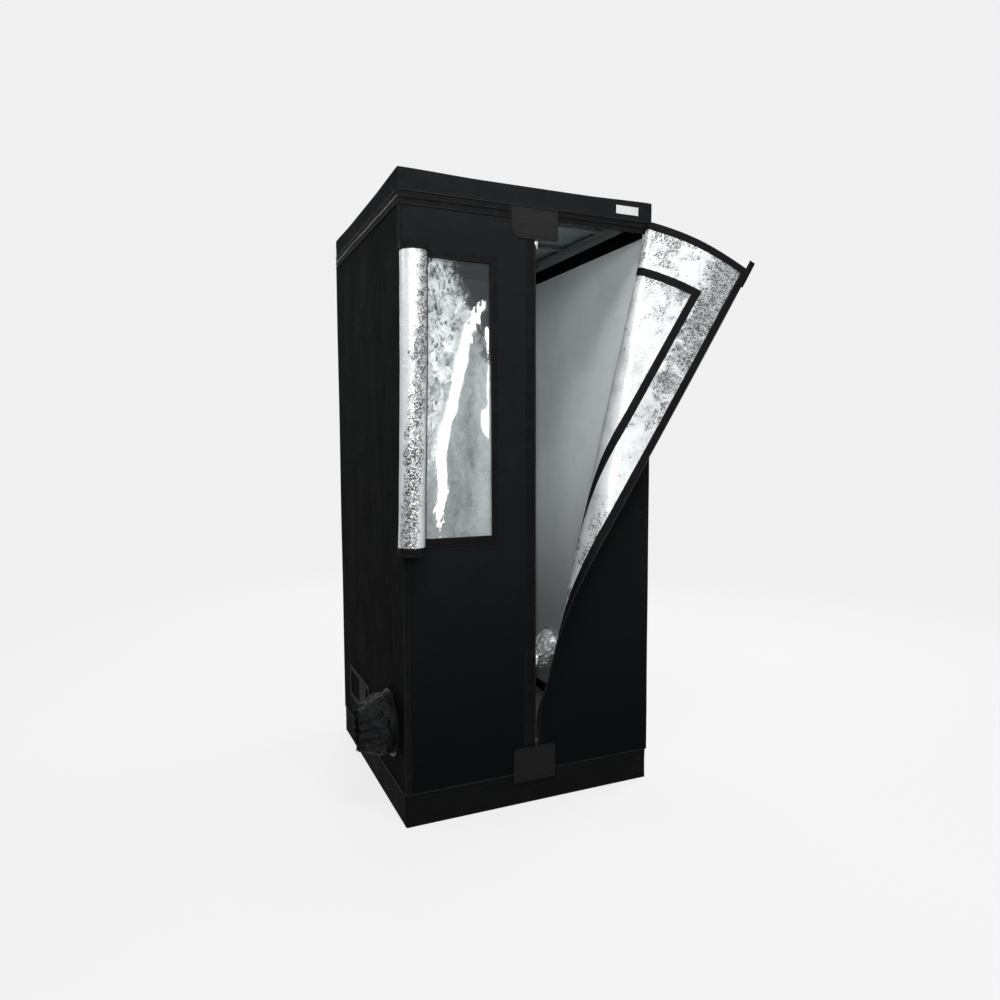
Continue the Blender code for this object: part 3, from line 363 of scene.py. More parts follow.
def tilted(tree, vector, across, up, shift):
    # a plain slope over the cloth: across * u + up * v + shift
    u, v, _ = splitVector(tree, vector)
    return plus(tree, times(tree, u, across), times(tree, v, up), shift)


def heightOf(tree, vector):
    # v is the height on every upright sheet
    return splitVector(tree, vector)[1]


def bumpNode(tree, height, strength, distance, normal=None):
    node = addNode(tree, "ShaderNodeBump")
    feed(tree, node.inputs["Height"], height)
    node.inputs["Strength"].default_value = strength
    node.inputs["Distance"].default_value = distance
    if normal is not None:
        tree.links.new(normal, node.inputs["Normal"])
    return node.outputs[0]


def newGroup(name, outputs, **numbers):
    # a node group that takes a vector and the given numbers
    tree = bpy.data.node_groups.new(name, "ShaderNodeTree")
    tree.interface.new_socket("Vector", in_out="INPUT", socket_type="NodeSocketVector")
    for label, value in numbers.items():
        socket = tree.interface.new_socket(label, in_out="INPUT", socket_type="NodeSocketFloat")
        socket.default_value = value
    for label in outputs:
        tree.interface.new_socket(label, in_out="OUTPUT", socket_type="NodeSocketFloat")
    start = tree.nodes.new("NodeGroupInput")
    end = tree.nodes.new("NodeGroupOutput")
    return tree, start.outputs, end.inputs


def useGroup(tree, name, **values):
    node = addNode(tree, "ShaderNodeGroup", node_tree=bpy.data.node_groups[name])
    for label, value in values.items():
        feed(tree, node.inputs[label], value)
    return node.outputs


weave = {"pitch": 0.001, "slubStretch": (900, 60, 60), "slub": (1.0, 1.0)}


def makeWeaveGroup():
    # plain weave: threads over and under each other
    tree, given, out = newGroup("clothWeave", ["Height", "Thread"], Pitch=weave["pitch"])
    u, v, _ = splitVector(tree, given["Vector"])
    turns = calc(tree, "DIVIDE", math.pi, given["Pitch"])
    warp = calc(tree, "SINE", times(tree, u, turns))
    weft = calc(tree, "SINE", times(tree, v, turns))
    height = remap(tree, times(tree, warp, weft), -1, 1)
    tree.links.new(height, out["Height"])
    slub = noiseNode(tree, stretched(tree, given["Vector"], weave["slubStretch"]), *weave["slub"])
    tree.links.new(times(tree, slub, height), out["Thread"])


creasing = {
    "scale": 6.0,
    "soft": (3.0, 0.5, 0.6),        # detail, roughness and distortion of the noise, here and below
    "fineScale": 3.1,
    "fine": (2.0, 0.5, 1.2),
    "lineWidth": 0.10,
    "lineShare": 0.25,
}


def makeCreaseGroup():
    # soft folds and the sharper lines that packing leaves in cloth
    tree, given, out = newGroup("clothCreases", ["Height", "Line"], Scale=creasing["scale"])
    soft = noiseNode(tree, given["Vector"], given["Scale"], *creasing["soft"])
    fineScale = times(tree, given["Scale"], creasing["fineScale"])
    fine = noiseNode(tree, given["Vector"], fineScale, *creasing["fine"])
    line = remap(tree, awayFrom(tree, fine), 0.0, creasing["lineWidth"], 1.0, 0.0)
    tree.links.new(plus(tree, soft, times(tree, line, creasing["lineShare"])), out["Height"])
    tree.links.new(line, out["Line"])


emboss = {
    "dent": 0.005,
    "patch": 0.12,
    "rumpleScale": 0.22,            # these scales are shares of the dents' scale
    "rumple": (3.0, 0.6, 0.8),
    "rumpleDepth": 2.0,
    "cloud": (3.0, 0.6, 0.9),
    "patchEdge": (0.36, 0.72),
    "reflectionDotScale": 1.55,
    "clumpScale": 0.30,
    "clump": (2.0, 0.6),
    "clumpFloor": 0.15,
    "clumpShare": 1.3,
    "patchShare": 0.72,
    "reflectionDotEdge": (-0.04, 0.20),
    "reflectionDotTones": (0.0, 0.8, 0.30, 1.0),
}


def makeFoilGroup():
    # pressed film: small dents all over, patches where they show more, and in those patches dark dots of
    # painted reflection, where the dents would mirror dark surroundings
    tree, given, out = newGroup("foilEmbossAndReflectionDots", ["Height", "PaintedReflectionDots", "Patch"],
                                Dent=emboss["dent"], Patch=emboss["patch"], Bias=0.0)
    vector = given["Vector"]
    dentScale = calc(tree, "DIVIDE", 1.0, given["Dent"])
    patchScale = calc(tree, "DIVIDE", 1.0, given["Patch"])
    dents = cells(tree, vector, dentScale)[0]
    rumple = noiseNode(tree, vector, times(tree, dentScale, emboss["rumpleScale"]), *emboss["rumple"])
    tree.links.new(plus(tree, dents, times(tree, rumple, emboss["rumpleDepth"])), out["Height"])
    cloud = plus(tree, noiseNode(tree, vector, patchScale, *emboss["cloud"]), given["Bias"])
    patch = remap(tree, cloud, *emboss["patchEdge"])
    _, chance, strength = cells(tree, vector, times(tree, dentScale, emboss["reflectionDotScale"]))
    clump = noiseNode(tree, vector, times(tree, dentScale, emboss["clumpScale"]), *emboss["clump"])
    clump = times(tree, minus(tree, clump, 0.5), plus(tree, patch, emboss["clumpFloor"]))
    density = plus(tree, times(tree, patch, emboss["patchShare"]), times(tree, clump, emboss["clumpShare"]))
    dark = remap(tree, minus(tree, density, chance), *emboss["reflectionDotEdge"])
    tree.links.new(times(tree, dark, remap(tree, strength, *emboss["reflectionDotTones"])), out["PaintedReflectionDots"])
    tree.links.new(patch, out["Patch"])


# Marks on the clear film, most of them painted reflection and painted shade. A slope is across, up and shift;
# an edge is where a change starts and ends
filmMarks = {
    "cornerSlope": (6.8, 3.0, -3.38),
    "cornerNoise": (26.0, 4.0, 0.6, 0.8),
    "cornerRough": 0.8,
    "cornerEdge": (-0.24, 0.24),
    "crossStretch": (1.0, 0.7, 1.0),
    "cross": (34.0, 5.0, 0.62, 0.7),
    "crossWidth": 0.06,
    "leftSlope": (-7.0, 2.0, -3.9),
    "leftEdge": (0.12, 1.0),
    "facetBend": (16.0, 2.0),
    "facetShift": 0.08,
    "facetStretch": (92, 60, 1),
    "facetLight": 0.44,
    "facetDark": 0.42,
    "frayLow": (0.86, 1.05),        # heights between which the lamp's reflection frays at its foot
    "frayHigh": (1.30, 1.44),
    "rippleStretch": (70.0, 60.0, 1.0),
    "rippleDepth": 1.1,
    "cloudStretch": (8.0, 3.6, 1.0),
    "cloud": (1.0, 4.0, 0.6, 1.2),
    "cloudShare": 0.55,
    "reliefStretch": (44.0, 26.0, 1.0),
    "relief": (1.0, 5.0, 0.68, 0.8),
    "reliefShare": 1.7,
    "brightSlope": (-5.0, 0.9, -1.95),
    "brightShare": 0.26,
    "paintedReflection": 0.46,
    "cornerReflectionCut": 0.50,
    "leftShare": (0.85, 0.15),      # by how much the left side counts, and the least share
    "coveredShare": (0.75, 0.25),
    "foldStretch": (1.0, 0.6, 1.0),
    "fold": (24.0, 4.0, 0.55, 1.0),
    "foldWidth": 0.040,
    "foldDark": 0.36,
    "upperEdge": (1.40, 1.56),
    "upperDark": 0.13,
    "sideEdge": (-0.21, -0.155),    # the painted highlight strip by the inner edge, below the height of the next line
    "sideTop": (-1.38, -1.28),
    "sideLight": 0.22,
    "reflectionEnd": 0.95,
}


def makeFilmGroup():
    # clear film: crossing crinkle lines to its left, and a grey painted reflection that thins out at its upper
    # inner corner
    marks = filmMarks
    tree, given, out = newGroup("filmCrinkle", ["Height", "PaintedBloom", "Line"])
    vector = given["Vector"]
    up = heightOf(tree, vector)
    cornerNoise = times(tree, noiseNode(tree, vector, *marks["cornerNoise"]), marks["cornerRough"])
    corner = plus(tree, tilted(tree, vector, *marks["cornerSlope"]), cornerNoise)
    corner = remap(tree, corner, *marks["cornerEdge"])
    covered = minus(tree, 1.0, corner)
    left = remap(tree, tilted(tree, vector, *marks["leftSlope"]), *marks["leftEdge"])
    left = times(tree, left, covered)

    crossing = noiseNode(tree, stretched(tree, vector, marks["crossStretch"]), *marks["cross"])
    line = times(tree, remap(tree, awayFrom(tree, crossing), 0.0, marks["crossWidth"], 1.0, 0.0), left)
    frayed = plus(tree, remap(tree, up, *marks["frayLow"], 1.0, 0.0), remap(tree, up, *marks["frayHigh"]))
    ripple = noiseNode(tree, stretched(tree, vector, marks["rippleStretch"]), 1.0, 0.0)
    ripple = times(tree, ripple, times(tree, frayed, marks["rippleDepth"]))
    tree.links.new(plus(tree, line, ripple), out["Height"])
    tree.links.new(line, out["Line"])

    # painted reflection: grey, lighter towards the left and upwards, with random clouds, relief and light and
    # dark facets
    bright = remap(tree, tilted(tree, vector, *marks["brightSlope"]), 0.0, 1.0)
    cloud = noiseNode(tree, stretched(tree, vector, marks["cloudStretch"]), *marks["cloud"])
    paintedReflection = minus(tree, marks["paintedReflection"], times(tree, corner, marks["cornerReflectionCut"]))
    paintedReflection = plus(tree, paintedReflection, times(tree, bright, marks["brightShare"]))
    paintedReflection = plus(tree, paintedReflection, times(tree, minus(tree, cloud, 0.5), marks["cloudShare"]))

    share, least = marks["leftShare"]
    share = plus(tree, times(tree, left, share), least)
    coveredShare, least = marks["coveredShare"]
    share = times(tree, share, plus(tree, times(tree, covered, coveredShare), least))
    relief = noiseNode(tree, stretched(tree, vector, marks["reliefStretch"]), *marks["relief"])
    relief = times(tree, minus(tree, relief, 0.5), times(tree, share, marks["reliefShare"]))
    bend = blendColour(tree, marks["facetShift"], vector, noiseNode(tree, vector, *marks["facetBend"]))
    _, facet, glint = cells(tree, stretched(tree, bend, marks["facetStretch"]), 1.0)
    facet = minus(tree, times(tree, facet, marks["facetLight"]), times(tree, glint, marks["facetDark"]))
    # painted shade along the fold lines and towards the top, and a painted highlight strip by the inner edge
    fold = noiseNode(tree, stretched(tree, vector, marks["foldStretch"]), *marks["fold"])
    fold = remap(tree, awayFrom(tree, fold), 0.0, marks["foldWidth"], 1.0, 0.0)
    paintedReflection = plus(tree, paintedReflection, relief, times(tree, facet, share))
    paintedReflection = minus(tree, paintedReflection, times(tree, times(tree, fold, share), marks["foldDark"]))
    paintedReflection = minus(tree, paintedReflection, times(tree, remap(tree, up, *marks["upperEdge"]), marks["upperDark"]))
    side = remap(tree, tilted(tree, vector, 1.0, 0.0, 0.0), *marks["sideEdge"])
    side = times(tree, side, remap(tree, tilted(tree, vector, 0.0, -1.0, 0.0), *marks["sideTop"]))
    paintedReflection = plus(tree, paintedReflection, times(tree, side, marks["sideLight"]))
    tree.links.new(remap(tree, paintedReflection, 0.0, marks["reflectionEnd"]), out["PaintedBloom"])


stitching = {
    "inset": 0.003,
    "length": 0.0035,
    "thread": (0.0004, 0.0009),     # distances from the row's middle at which the thread ends
    "dash": (0.34, 0.42),
    "groove": 0.0026,
    "lift": 1.2,
}


def makeStitchGroup():
    # a row of thread near the edges of a tape whose UV holds the distance in from the edge
    near, far = stitching["thread"]
    tree, given, out = newGroup("stitchRow", ["Thread", "Height"],
                                Inset=stitching["inset"], Length=stitching["length"])
    u, v, _ = splitVector(tree, given["Vector"])
    away = awayFrom(tree, v, given["Inset"])
    part = calc(tree, "FRACT", calc(tree, "DIVIDE", u, given["Length"]))
    dash = remap(tree, awayFrom(tree, part), *stitching["dash"], 1.0, 0.0)
    thread = times(tree, remap(tree, away, near, far, 1.0, 0.0), dash)
    tree.links.new(thread, out["Thread"])
    groove = remap(tree, away, near, stitching["groove"], -1.0, 0.0)
    tree.links.new(plus(tree, groove, times(tree, thread, stitching["lift"])), out["Height"])


def newFinish(name):
    material = bpy.data.materials.new(name)
    material.use_nodes = True
    tree = material.node_tree
    tree.nodes.clear()
    shader = addNode(tree, "ShaderNodeBsdfPrincipled")
    output = addNode(tree, "ShaderNodeOutputMaterial")
    tree.links.new(shader.outputs[0], output.inputs[0])
    return tree, shader.inputs


def uvOf(tree):
    return addNode(tree, "ShaderNodeUVMap").outputs[0]


def placeOf(tree):
    return addNode(tree, "ShaderNodeTexCoord").outputs["Object"]


# Woven cloth with dark and light threads; where given, a painted shade darkens it towards the foot, to a share
# of the dark threads' colour below two heights
clothLook = {
    "lint": (9.0, 4.0, 0.6),
    "lintEdge": (0.25, 0.80),
    "worn": 1.9,
    "wornShare": 0.05,
    "threadShare": 0.35,
    "roughSpread": 0.06,
    "creaseStrength": 0.6,
    "threads": (0.35, 0.00025),     # strength and depth
}
cloths = {
    # dark and light threads, roughness, pitch, size and depth of the creases, shine, painted shade at the
    # foot: share and heights
    "outerCloth": ((0.0048, 0.0054, 0.0057), (0.0066, 0.0072, 0.0076), 0.82, 0.0011, 4.0, 0.003, 0.015,
                   0.18, (0.20, 1.45)),
    "leafCloth": ((0.0068, 0.0076, 0.0082), (0.0089, 0.0098, 0.0106), 0.82, 0.0011, 4.0, 0.003, 0.015,
                  0.50, (0.05, 1.05)),
    "capCloth": ((0.0066, 0.0074, 0.0080), (0.0086, 0.0095, 0.0103), 0.82, 0.0011, 4.0, 0.003, 0.015),
    "bandCloth": ((0.0048, 0.0051, 0.0050), (0.0068, 0.0071, 0.0070), 0.80, 0.0011, 7.0, 0.004, 0.02),
    "flapCloth": ((0.0105, 0.0106, 0.0110), (0.0140, 0.0141, 0.0146), 0.80, 0.0011, 9.0, 0.003, 0.03),
    "sockCloth": ((0.0034, 0.0037, 0.0041), (0.0066, 0.0071, 0.0077), 0.40, 0.0007, 15.0, 0.007, 0.07),
    "roofLining": ((0.42, 0.47, 0.47), (0.50, 0.56, 0.56), 0.55, 0.0011, 9.0, 0.003, 0.20),
}


def makeCloth(name, dark, light, roughness, pitch, creaseScale, creaseDepth, shine, paintedShadeTone=1.0, paintedShadeHeights=None):
    look = clothLook
    tree, shader = newFinish(name)
    vector = uvOf(tree)
    threads = useGroup(tree, "clothWeave", Vector=vector, Pitch=pitch)
    creases = useGroup(tree, "clothCreases", Vector=vector, Scale=creaseScale)
    lint = noiseNode(tree, vector, *look["lint"])
    colour = blendColour(tree, remap(tree, lint, *look["lintEdge"]), dark, light)
    worn = times(tree, creases["Line"], look["wornShare"])
    colour = blendColour(tree, worn, colour, dimmed(light, look["worn"]))
    colour = blendColour(tree, times(tree, threads["Thread"], look["threadShare"]), colour, dark)
    # painted shade: darker towards the foot, where less light falls
    if paintedShadeHeights:
        low = remap(tree, heightOf(tree, vector), *paintedShadeHeights, 1.0, 0.0)
        colour = blendColour(tree, low, colour, dimmed(dark, paintedShadeTone))
    feed(tree, shader["Base Color"], colour)
    rough = (roughness - look["roughSpread"], roughness + look["roughSpread"])
    feed(tree, shader["Roughness"], remap(tree, lint, 0.3, 0.7, *rough))
    shader["Specular IOR Level"].default_value = shine
    soft = bumpNode(tree, creases["Height"], look["creaseStrength"], creaseDepth)
    feed(tree, shader["Normal"], bumpNode(tree, threads["Height"], *look["threads"], soft))


webbingLook = {
    "stretch": (1.0, 0.45, 1.0),
    "pitch": 0.0016,
    "wear": (30.0, 3.0),
    "wearEdge": (0.4, 0.75),
    "rough": (0.55, 0.72),
    "shine": 0.03,
    "ribs": (0.5, 0.0004),          # strength and depth, here and in the next line
    "stitches": (0.7, 0.0006),
}
webbings = {
    # dark and light yarn, distance of the stitches from the edge, thread
    "blackWebbing": ((0.0042, 0.0042, 0.0045), (0.0080, 0.0080, 0.0085), 0.0032, (0.016, 0.016, 0.017)),
    "oliveWebbing": ((0.0034, 0.0038, 0.0031), (0.0054, 0.0059, 0.0047), 0.0032, (0.010, 0.011, 0.009)),
    "edgeTape": ((0.0040, 0.0040, 0.0043), (0.0070, 0.0070, 0.0074), 0.0016, (0.015, 0.015, 0.016)),
}


def makeWebbing(name, dark, light, stitchInset, thread):
    look = webbingLook
    tree, shader = newFinish(name)
    vector = uvOf(tree)
    ribbed = stretched(tree, vector, look["stretch"])
    threads = useGroup(tree, "clothWeave", Vector=ribbed, Pitch=look["pitch"])
    stitch = useGroup(tree, "stitchRow", Vector=vector, Inset=stitchInset)
    wear = noiseNode(tree, vector, *look["wear"])
    colour = blendColour(tree, remap(tree, wear, *look["wearEdge"]), dark, light)
    feed(tree, shader["Base Color"], blendColour(tree, stitch["Thread"], colour, thread))
    feed(tree, shader["Roughness"], remap(tree, wear, 0.3, 0.7, *look["rough"]))
    shader["Specular IOR Level"].default_value = look["shine"]
    ribs = bumpNode(tree, threads["Height"], *look["ribs"])
    feed(tree, shader["Normal"], bumpNode(tree, stitch["Height"], *look["stitches"], ribs))


# Where the linings get painted reflection dots and painted grey
rollReflectionBands = {"off": (1.0, 0.067, -0.1965), "slope": (0.0, -0.20, 0.60), "narrow": 16.0}
leafReflectionBands = {
    # each edge is where a change starts and ends, in metres of the flat leaf
    "freeSide": ((-0.17, -0.06), (0.95, 1.62), 0.40),
    "foldSide": ((0.12, 0.30), (1.57, 1.67), 0.30),
    "low": ((-1.02, -0.82), 0.12),
    "base": 0.13,
}


def rollReflectionBand(tree, vector):
    # painted reflection: the darker band down the rolled cover, near its right side above, nearer the middle
    # below
    off = calc(tree, "ABSOLUTE", tilted(tree, vector, *rollReflectionBands["off"]))
    return minus(tree, tilted(tree, vector, *rollReflectionBands["slope"]), times(tree, off, rollReflectionBands["narrow"]))


def leafReflectionPatches(tree, vector):
    # where the leaf's silver side gets painted reflection dots and painted grey: its free upper corner, beside
    # the fold at the top, and low down
    total = 0.0
    for label, side in (("freeSide", -1.0), ("foldSide", 1.0)):
        across, upward, share = leafReflectionBands[label]
        patch = times(tree, remap(tree, tilted(tree, vector, side, 0.0, 0.0), *across),
                      remap(tree, heightOf(tree, vector), *upward))
        total = plus(tree, total, times(tree, patch, share))
    edge, share = leafReflectionBands["low"]
    low = remap(tree, tilted(tree, vector, 0.0, -1.0, 0.0), *edge)
    return plus(tree, total, times(tree, low, share), -leafReflectionBands["base"])


def coverReflectionRise(tree, vector):
    # where the closed cover's silver side gets painted reflection dots and painted grey, more of them higher
    # up
    return tilted(tree, vector, 0.0, 0.70, -1.09)


# Silver linings. Shade is the darker share of bright, a painted shade that varies at random, and the dark dots
# are painted reflection
foilLook = {
    "cloud": (9.0, 4.0, 0.6, 1.0),
    "cloudEdge": (0.40, 0.68),
    "paintedShadeHeights": (0.30, 1.25),           # heights below which a lining's painted shade at the foot is full, and above which it ends
    "smoothShare": 0.7,
    "bumpStrength": 0.6,
}
foils = {
    # bright, shade, colour of the dark dots and their share, size of dents and patches, metallic, roughness,
    # depth, where the painted reflection dots and painted grey gather, how grey it is there, painted shade at
    # the foot
    "wallFoil": ((0.92, 0.97, 0.97), 0.94, (0.66, 0.69, 0.69), 0.20, 0.004, 0.10, 0.05, 0.50, 0.0006,
                 None, 0.0, 0.36),
    "leafFoil": ((0.56, 0.58, 0.59), 0.80, (0.020, 0.022, 0.022), 0.96, 0.0052, 0.055, 0.20, 0.34, 0.0011,
                 leafReflectionPatches, 0.35),
    "coverFoil": ((0.56, 0.58, 0.59), 0.72, (0.04, 0.042, 0.042), 0.90, 0.0052, 0.06, 0.22, 0.30, 0.0011,
                  coverReflectionRise, 0.35),
    "rollFoil": ((0.60, 0.62, 0.63), 0.88, (0.012, 0.013, 0.013), 0.97, 0.0052, 0.05, 0.30, 0.28, 0.0012,
                 rollReflectionBand, 0.24),
    "trayFoil": ((0.40, 0.42, 0.43), 0.80, (0.16, 0.17, 0.17), 0.50, 0.008, 0.09, 0.65, 0.24, 0.0026),
    "sockFoil": ((0.62, 0.64, 0.64), 0.30, (0.10, 0.10, 0.10), 0.30, 0.030, 0.05, 0.45, 0.30, 0.0090),
}


def makeFoil(name, bright, shade, grainAndReflectionDots, reflectionDotShare, dent, patch, metallic, roughness, depth,
             bias=None, soft=0.0, paintedShadeTone=1.0):
    look = foilLook
    tree, shader = newFinish(name)
    vector = uvOf(tree)
    shift = bias(tree, vector) if bias else 0.0
    pressed = useGroup(tree, "foilEmbossAndReflectionDots", Vector=vector, Dent=dent, Patch=patch, Bias=shift)
    cloud = noiseNode(tree, vector, *look["cloud"])
    colour = blendColour(tree, remap(tree, cloud, *look["cloudEdge"]), bright, dimmed(bright, shade))
    # painted grey in the patches, then dark dots of painted reflection
    colour = blendColour(tree, times(tree, pressed["Patch"], soft), colour, grainAndReflectionDots)
    colour = blendColour(tree, times(tree, pressed["PaintedReflectionDots"], reflectionDotShare), colour, grainAndReflectionDots)
    # painted shade: the lining darkens towards its foot, where less light falls
    if paintedShadeTone < 1.0:
        low = remap(tree, heightOf(tree, vector), *look["paintedShadeHeights"], 1.0, 0.0)
        colour = blendColour(tree, low, colour, dimmed(bright, paintedShadeTone))
    feed(tree, shader["Base Color"], colour)
    shader["Metallic"].default_value = metallic
    smoother = roughness * look["smoothShare"]
    feed(tree, shader["Roughness"], remap(tree, pressed["Patch"], 0.0, 1.0, roughness, smoother))
    feed(tree, shader["Normal"], bumpNode(tree, pressed["Height"], look["bumpStrength"], depth))


filmLook = {
    "dust": (420.0, 2.0, 0.6),
    "clear": (0.012, 0.016, 0.018),
    "paintedReflectionGrey": (0.54, 0.60, 0.61),
    "line": (0.80, 0.85, 0.86),
    "lineShare": 0.60,
    "dustColour": (0.06, 0.07, 0.07),
    "dustShare": 0.10,
    "alpha": (0.74, 0.66),
    "rough": (0.02, 0.035),
    "shine": 0.45,
    "bump": (0.20, 0.0003),         # strength and depth
}


def makeFilm():
    look = filmLook
    tree, shader = newFinish("clearFilm")
    vector = uvOf(tree)
    crinkle = useGroup(tree, "filmCrinkle", Vector=vector)
    dust = noiseNode(tree, vector, *look["dust"])
    # painted reflection: clear where it thins out, grey elsewhere, with painted highlights along the crinkle
    # lines
    colour = blendColour(tree, crinkle["PaintedBloom"], look["clear"], look["paintedReflectionGrey"])
    colour = blendColour(tree, times(tree, crinkle["Line"], look["lineShare"]), colour, look["line"])
    dusty = remap(tree, dust, 0.35, 0.65, look["dustShare"], 0.0)
    colour = blendColour(tree, dusty, colour, look["dustColour"])
    feed(tree, shader["Base Color"], colour)
    feed(tree, shader["Alpha"], remap(tree, crinkle["PaintedBloom"], 0.0, 1.0, *look["alpha"]))
    feed(tree, shader["Roughness"], remap(tree, dust, 0.3, 0.7, *look["rough"]))
    shader["Specular IOR Level"].default_value = look["shine"]
    feed(tree, shader["Normal"], bumpNode(tree, crinkle["Height"], *look["bump"]))


# Painted tube, moulded plastic and cast metal: fine grain, slight unevenness, rubbed places
hardLook = {
    "tone": (11.0, 4.0, 0.6),
    "toneEdge": (0.3, 0.75),
    "rub": (46.0, 5.0, 0.65, 0.8),
    "rubEdge": (0.60, 0.72),
    "rubShare": 0.35,
    "shade": 0.86,
    "smoother": 0.05,
    "rougher": 0.08,
    "bumpStrength": 0.4,
}
hards = {
    # colour, worn colour, roughness, metallic, size and depth of the grain, shine
    "tubePaint": ((0.80, 0.80, 0.78), (0.52, 0.52, 0.50), 0.34),
    # the tube paint again, darker: painted shade for the rails and hanging bars up under the roof
    "railPaint": ((0.30, 0.32, 0.32), (0.42, 0.43, 0.43), 0.42, 0.3),
    "connectorPlastic": ((0.035, 0.036, 0.038), (0.10, 0.10, 0.10), 0.48, 0.0, 1400.0, 0.00010, 0.4),
    "pipingVinyl": ((0.008, 0.0085, 0.0085), (0.016, 0.016, 0.017), 0.55, 0.0, 700.0, 0.00008, 0.06),
    "zipCord": ((0.040, 0.044, 0.048), (0.080, 0.086, 0.092), 0.30, 0.0, 700.0, 0.00008),
    "zipNylon": ((0.012, 0.012, 0.013), (0.05, 0.05, 0.05), 0.42, 0.0, 1600.0, 0.00008, 0.35),
    "darkMetal": ((0.030, 0.030, 0.031), (0.10, 0.10, 0.10), 0.36, 0.6, 1800.0, 0.00004, 0.4),
    "sliderMetal": ((0.62, 0.62, 0.60), (0.82, 0.82, 0.80), 0.24, 1.0, 1800.0, 0.00004),
    "netYarn": ((0.0035, 0.0040, 0.0040), (0.0070, 0.0075, 0.0075), 0.70, 0.0, 1200.0, 0.00010, 0.06),
    "plainTag": ((0.42, 0.43, 0.43), (0.34, 0.35, 0.35), 0.62, 0.0, 1100.0, 0.00008, 0.3),
}


def makeHard(name, colour, worn, roughness, metallic=0.0, grainAndReflectionDots=900.0, depth=0.00006, shine=0.5):
    look = hardLook
    tree, shader = newFinish(name)
    vector = placeOf(tree)
    tone = noiseNode(tree, vector, *look["tone"])
    rub = remap(tree, noiseNode(tree, vector, *look["rub"]), *look["rubEdge"])
    base = blendColour(tree, remap(tree, tone, *look["toneEdge"]), colour, dimmed(colour, look["shade"]))
    feed(tree, shader["Base Color"], blendColour(tree, times(tree, rub, look["rubShare"]), base, worn))
    shader["Metallic"].default_value = metallic
    rough = (roughness - look["smoother"], roughness + look["rougher"])
    feed(tree, shader["Roughness"], remap(tree, tone, 0.3, 0.7, *rough))
    shader["Specular IOR Level"].default_value = shine
    grains = noiseNode(tree, vector, grainAndReflectionDots, 2.0)
    feed(tree, shader["Normal"], bumpNode(tree, grains, look["bumpStrength"], depth))


def makeMaterials():
    for makeGroup in (makeWeaveGroup, makeCreaseGroup, makeFoilGroup, makeFilmGroup, makeStitchGroup):
        makeGroup()
    kinds = ((makeCloth, cloths), (makeWebbing, webbings), (makeFoil, foils), (makeHard, hards))
    for makeKind, rows in kinds:
        for name, values in rows.items():
            makeKind(name, *values)
    makeFilm()


makeMaterials()
print("materials made:", len(bpy.data.materials))


# Camera: solved from six corners of the tent in the picture
view = {
    "place": (-0.9628, -2.3489, 1.0799),
    "yaw": 0.4127,
    "pitch": 0.0772,
    "roll": -0.0041,
    "focalPixels": 744.25,
    "imagePixels": 1000,
    "sensor": 36.0,
}


def makeCamera():
    forward = Vector((
        math.sin(view["yaw"]) * math.cos(view["pitch"]),
        math.cos(view["yaw"]) * math.cos(view["pitch"]),
        -math.sin(view["pitch"]),
    ))
    level = Vector((math.cos(view["yaw"]), -math.sin(view["yaw"]), 0))
    above = level.cross(forward)
    side = level * math.cos(view["roll"]) + above * math.sin(view["roll"])
    up = above * math.cos(view["roll"]) - level * math.sin(view["roll"])
    data = bpy.data.cameras.new("pictureCamera")
    data.sensor_width = view["sensor"]
    data.lens = view["focalPixels"] / view["imagePixels"] * view["sensor"]
    camera = bpy.data.objects.new("pictureCamera", data)
    bpy.context.scene.collection.objects.link(camera)
    turn = Matrix((side, up, -forward)).transposed().to_4x4()
    camera.matrix_world = Matrix.Translation(view["place"]) @ turn
    bpy.context.scene.camera = camera


# Studio: a pale floor, a pale surround and soft lamps
studio = {
    "pale": (0.875, 0.875, 0.875, 1),
    "floorSize": 30.0,
    "paper": ((0.84, 0.84, 0.84), (0.87, 0.87, 0.87)),
    "paperSpeck": (3.0, 4.0),
    "bounce": (0.18, 0.18, 0.18),    # colour of the floor where its light falls on the tent
    "fill": 0.10,            # strength of the surround where it lights the tent
    "floorGlow": 0.90,       # share of the floor that shows the pale colour as it is
    "floorFade": (1.2, 5.0),  # distances over which that share grows to all of it
    "lamps": [
        # name, place, aimed at, width, height, power
        ("keyLamp", (-1.45, -3.3, 1.80), (0.1, -0.2, 1.25), 1.3, 1.2, 60.0),
        ("topLamp", (-0.25, -1.65, 3.15), (0.0, -0.4, 1.70), 1.3, 0.9, 70.0),
        ("stripLamp", (1.22, -4.0, 1.29), (1.22, -0.4, 1.29), 0.100, 1.80, 24.0),
        ("rightLamp", (3.4, 0.6, 2.6), (0.3, 0.0, 1.0), 1.6, 1.6, 120.0),
        ("backLamp", (0.4, 3.6, 2.6), (0.0, 0.4, 1.0), 1.8, 1.8, 150.0),
        ("leftLamp", (-3.2, 0.8, 3.1), (-0.4, 0.0, 1.6), 1.4, 1.4, 34.0),
    ],
}


def sightShare(tree):
    # sight, mirror and see-through rays meet the plain pale colour; other rays meet what lights the tent
    path = addNode(tree, "ShaderNodeLightPath")
    seen = calc(tree, "MAXIMUM", path.outputs["Is Camera Ray"], path.outputs["Is Glossy Ray"])
    return calc(tree, "MAXIMUM", seen, path.outputs["Is Transmission Ray"])


def mixLight(tree, share, lit, pale, outputKind):
    mixed = addNode(tree, "ShaderNodeMixShader")
    feed(tree, mixed.inputs[0], share)
    tree.links.new(lit.outputs[0], mixed.inputs[1])
    tree.links.new(pale.outputs[0], mixed.inputs[2])
    output = addNode(tree, outputKind)
    tree.links.new(mixed.outputs[0], output.inputs[0])


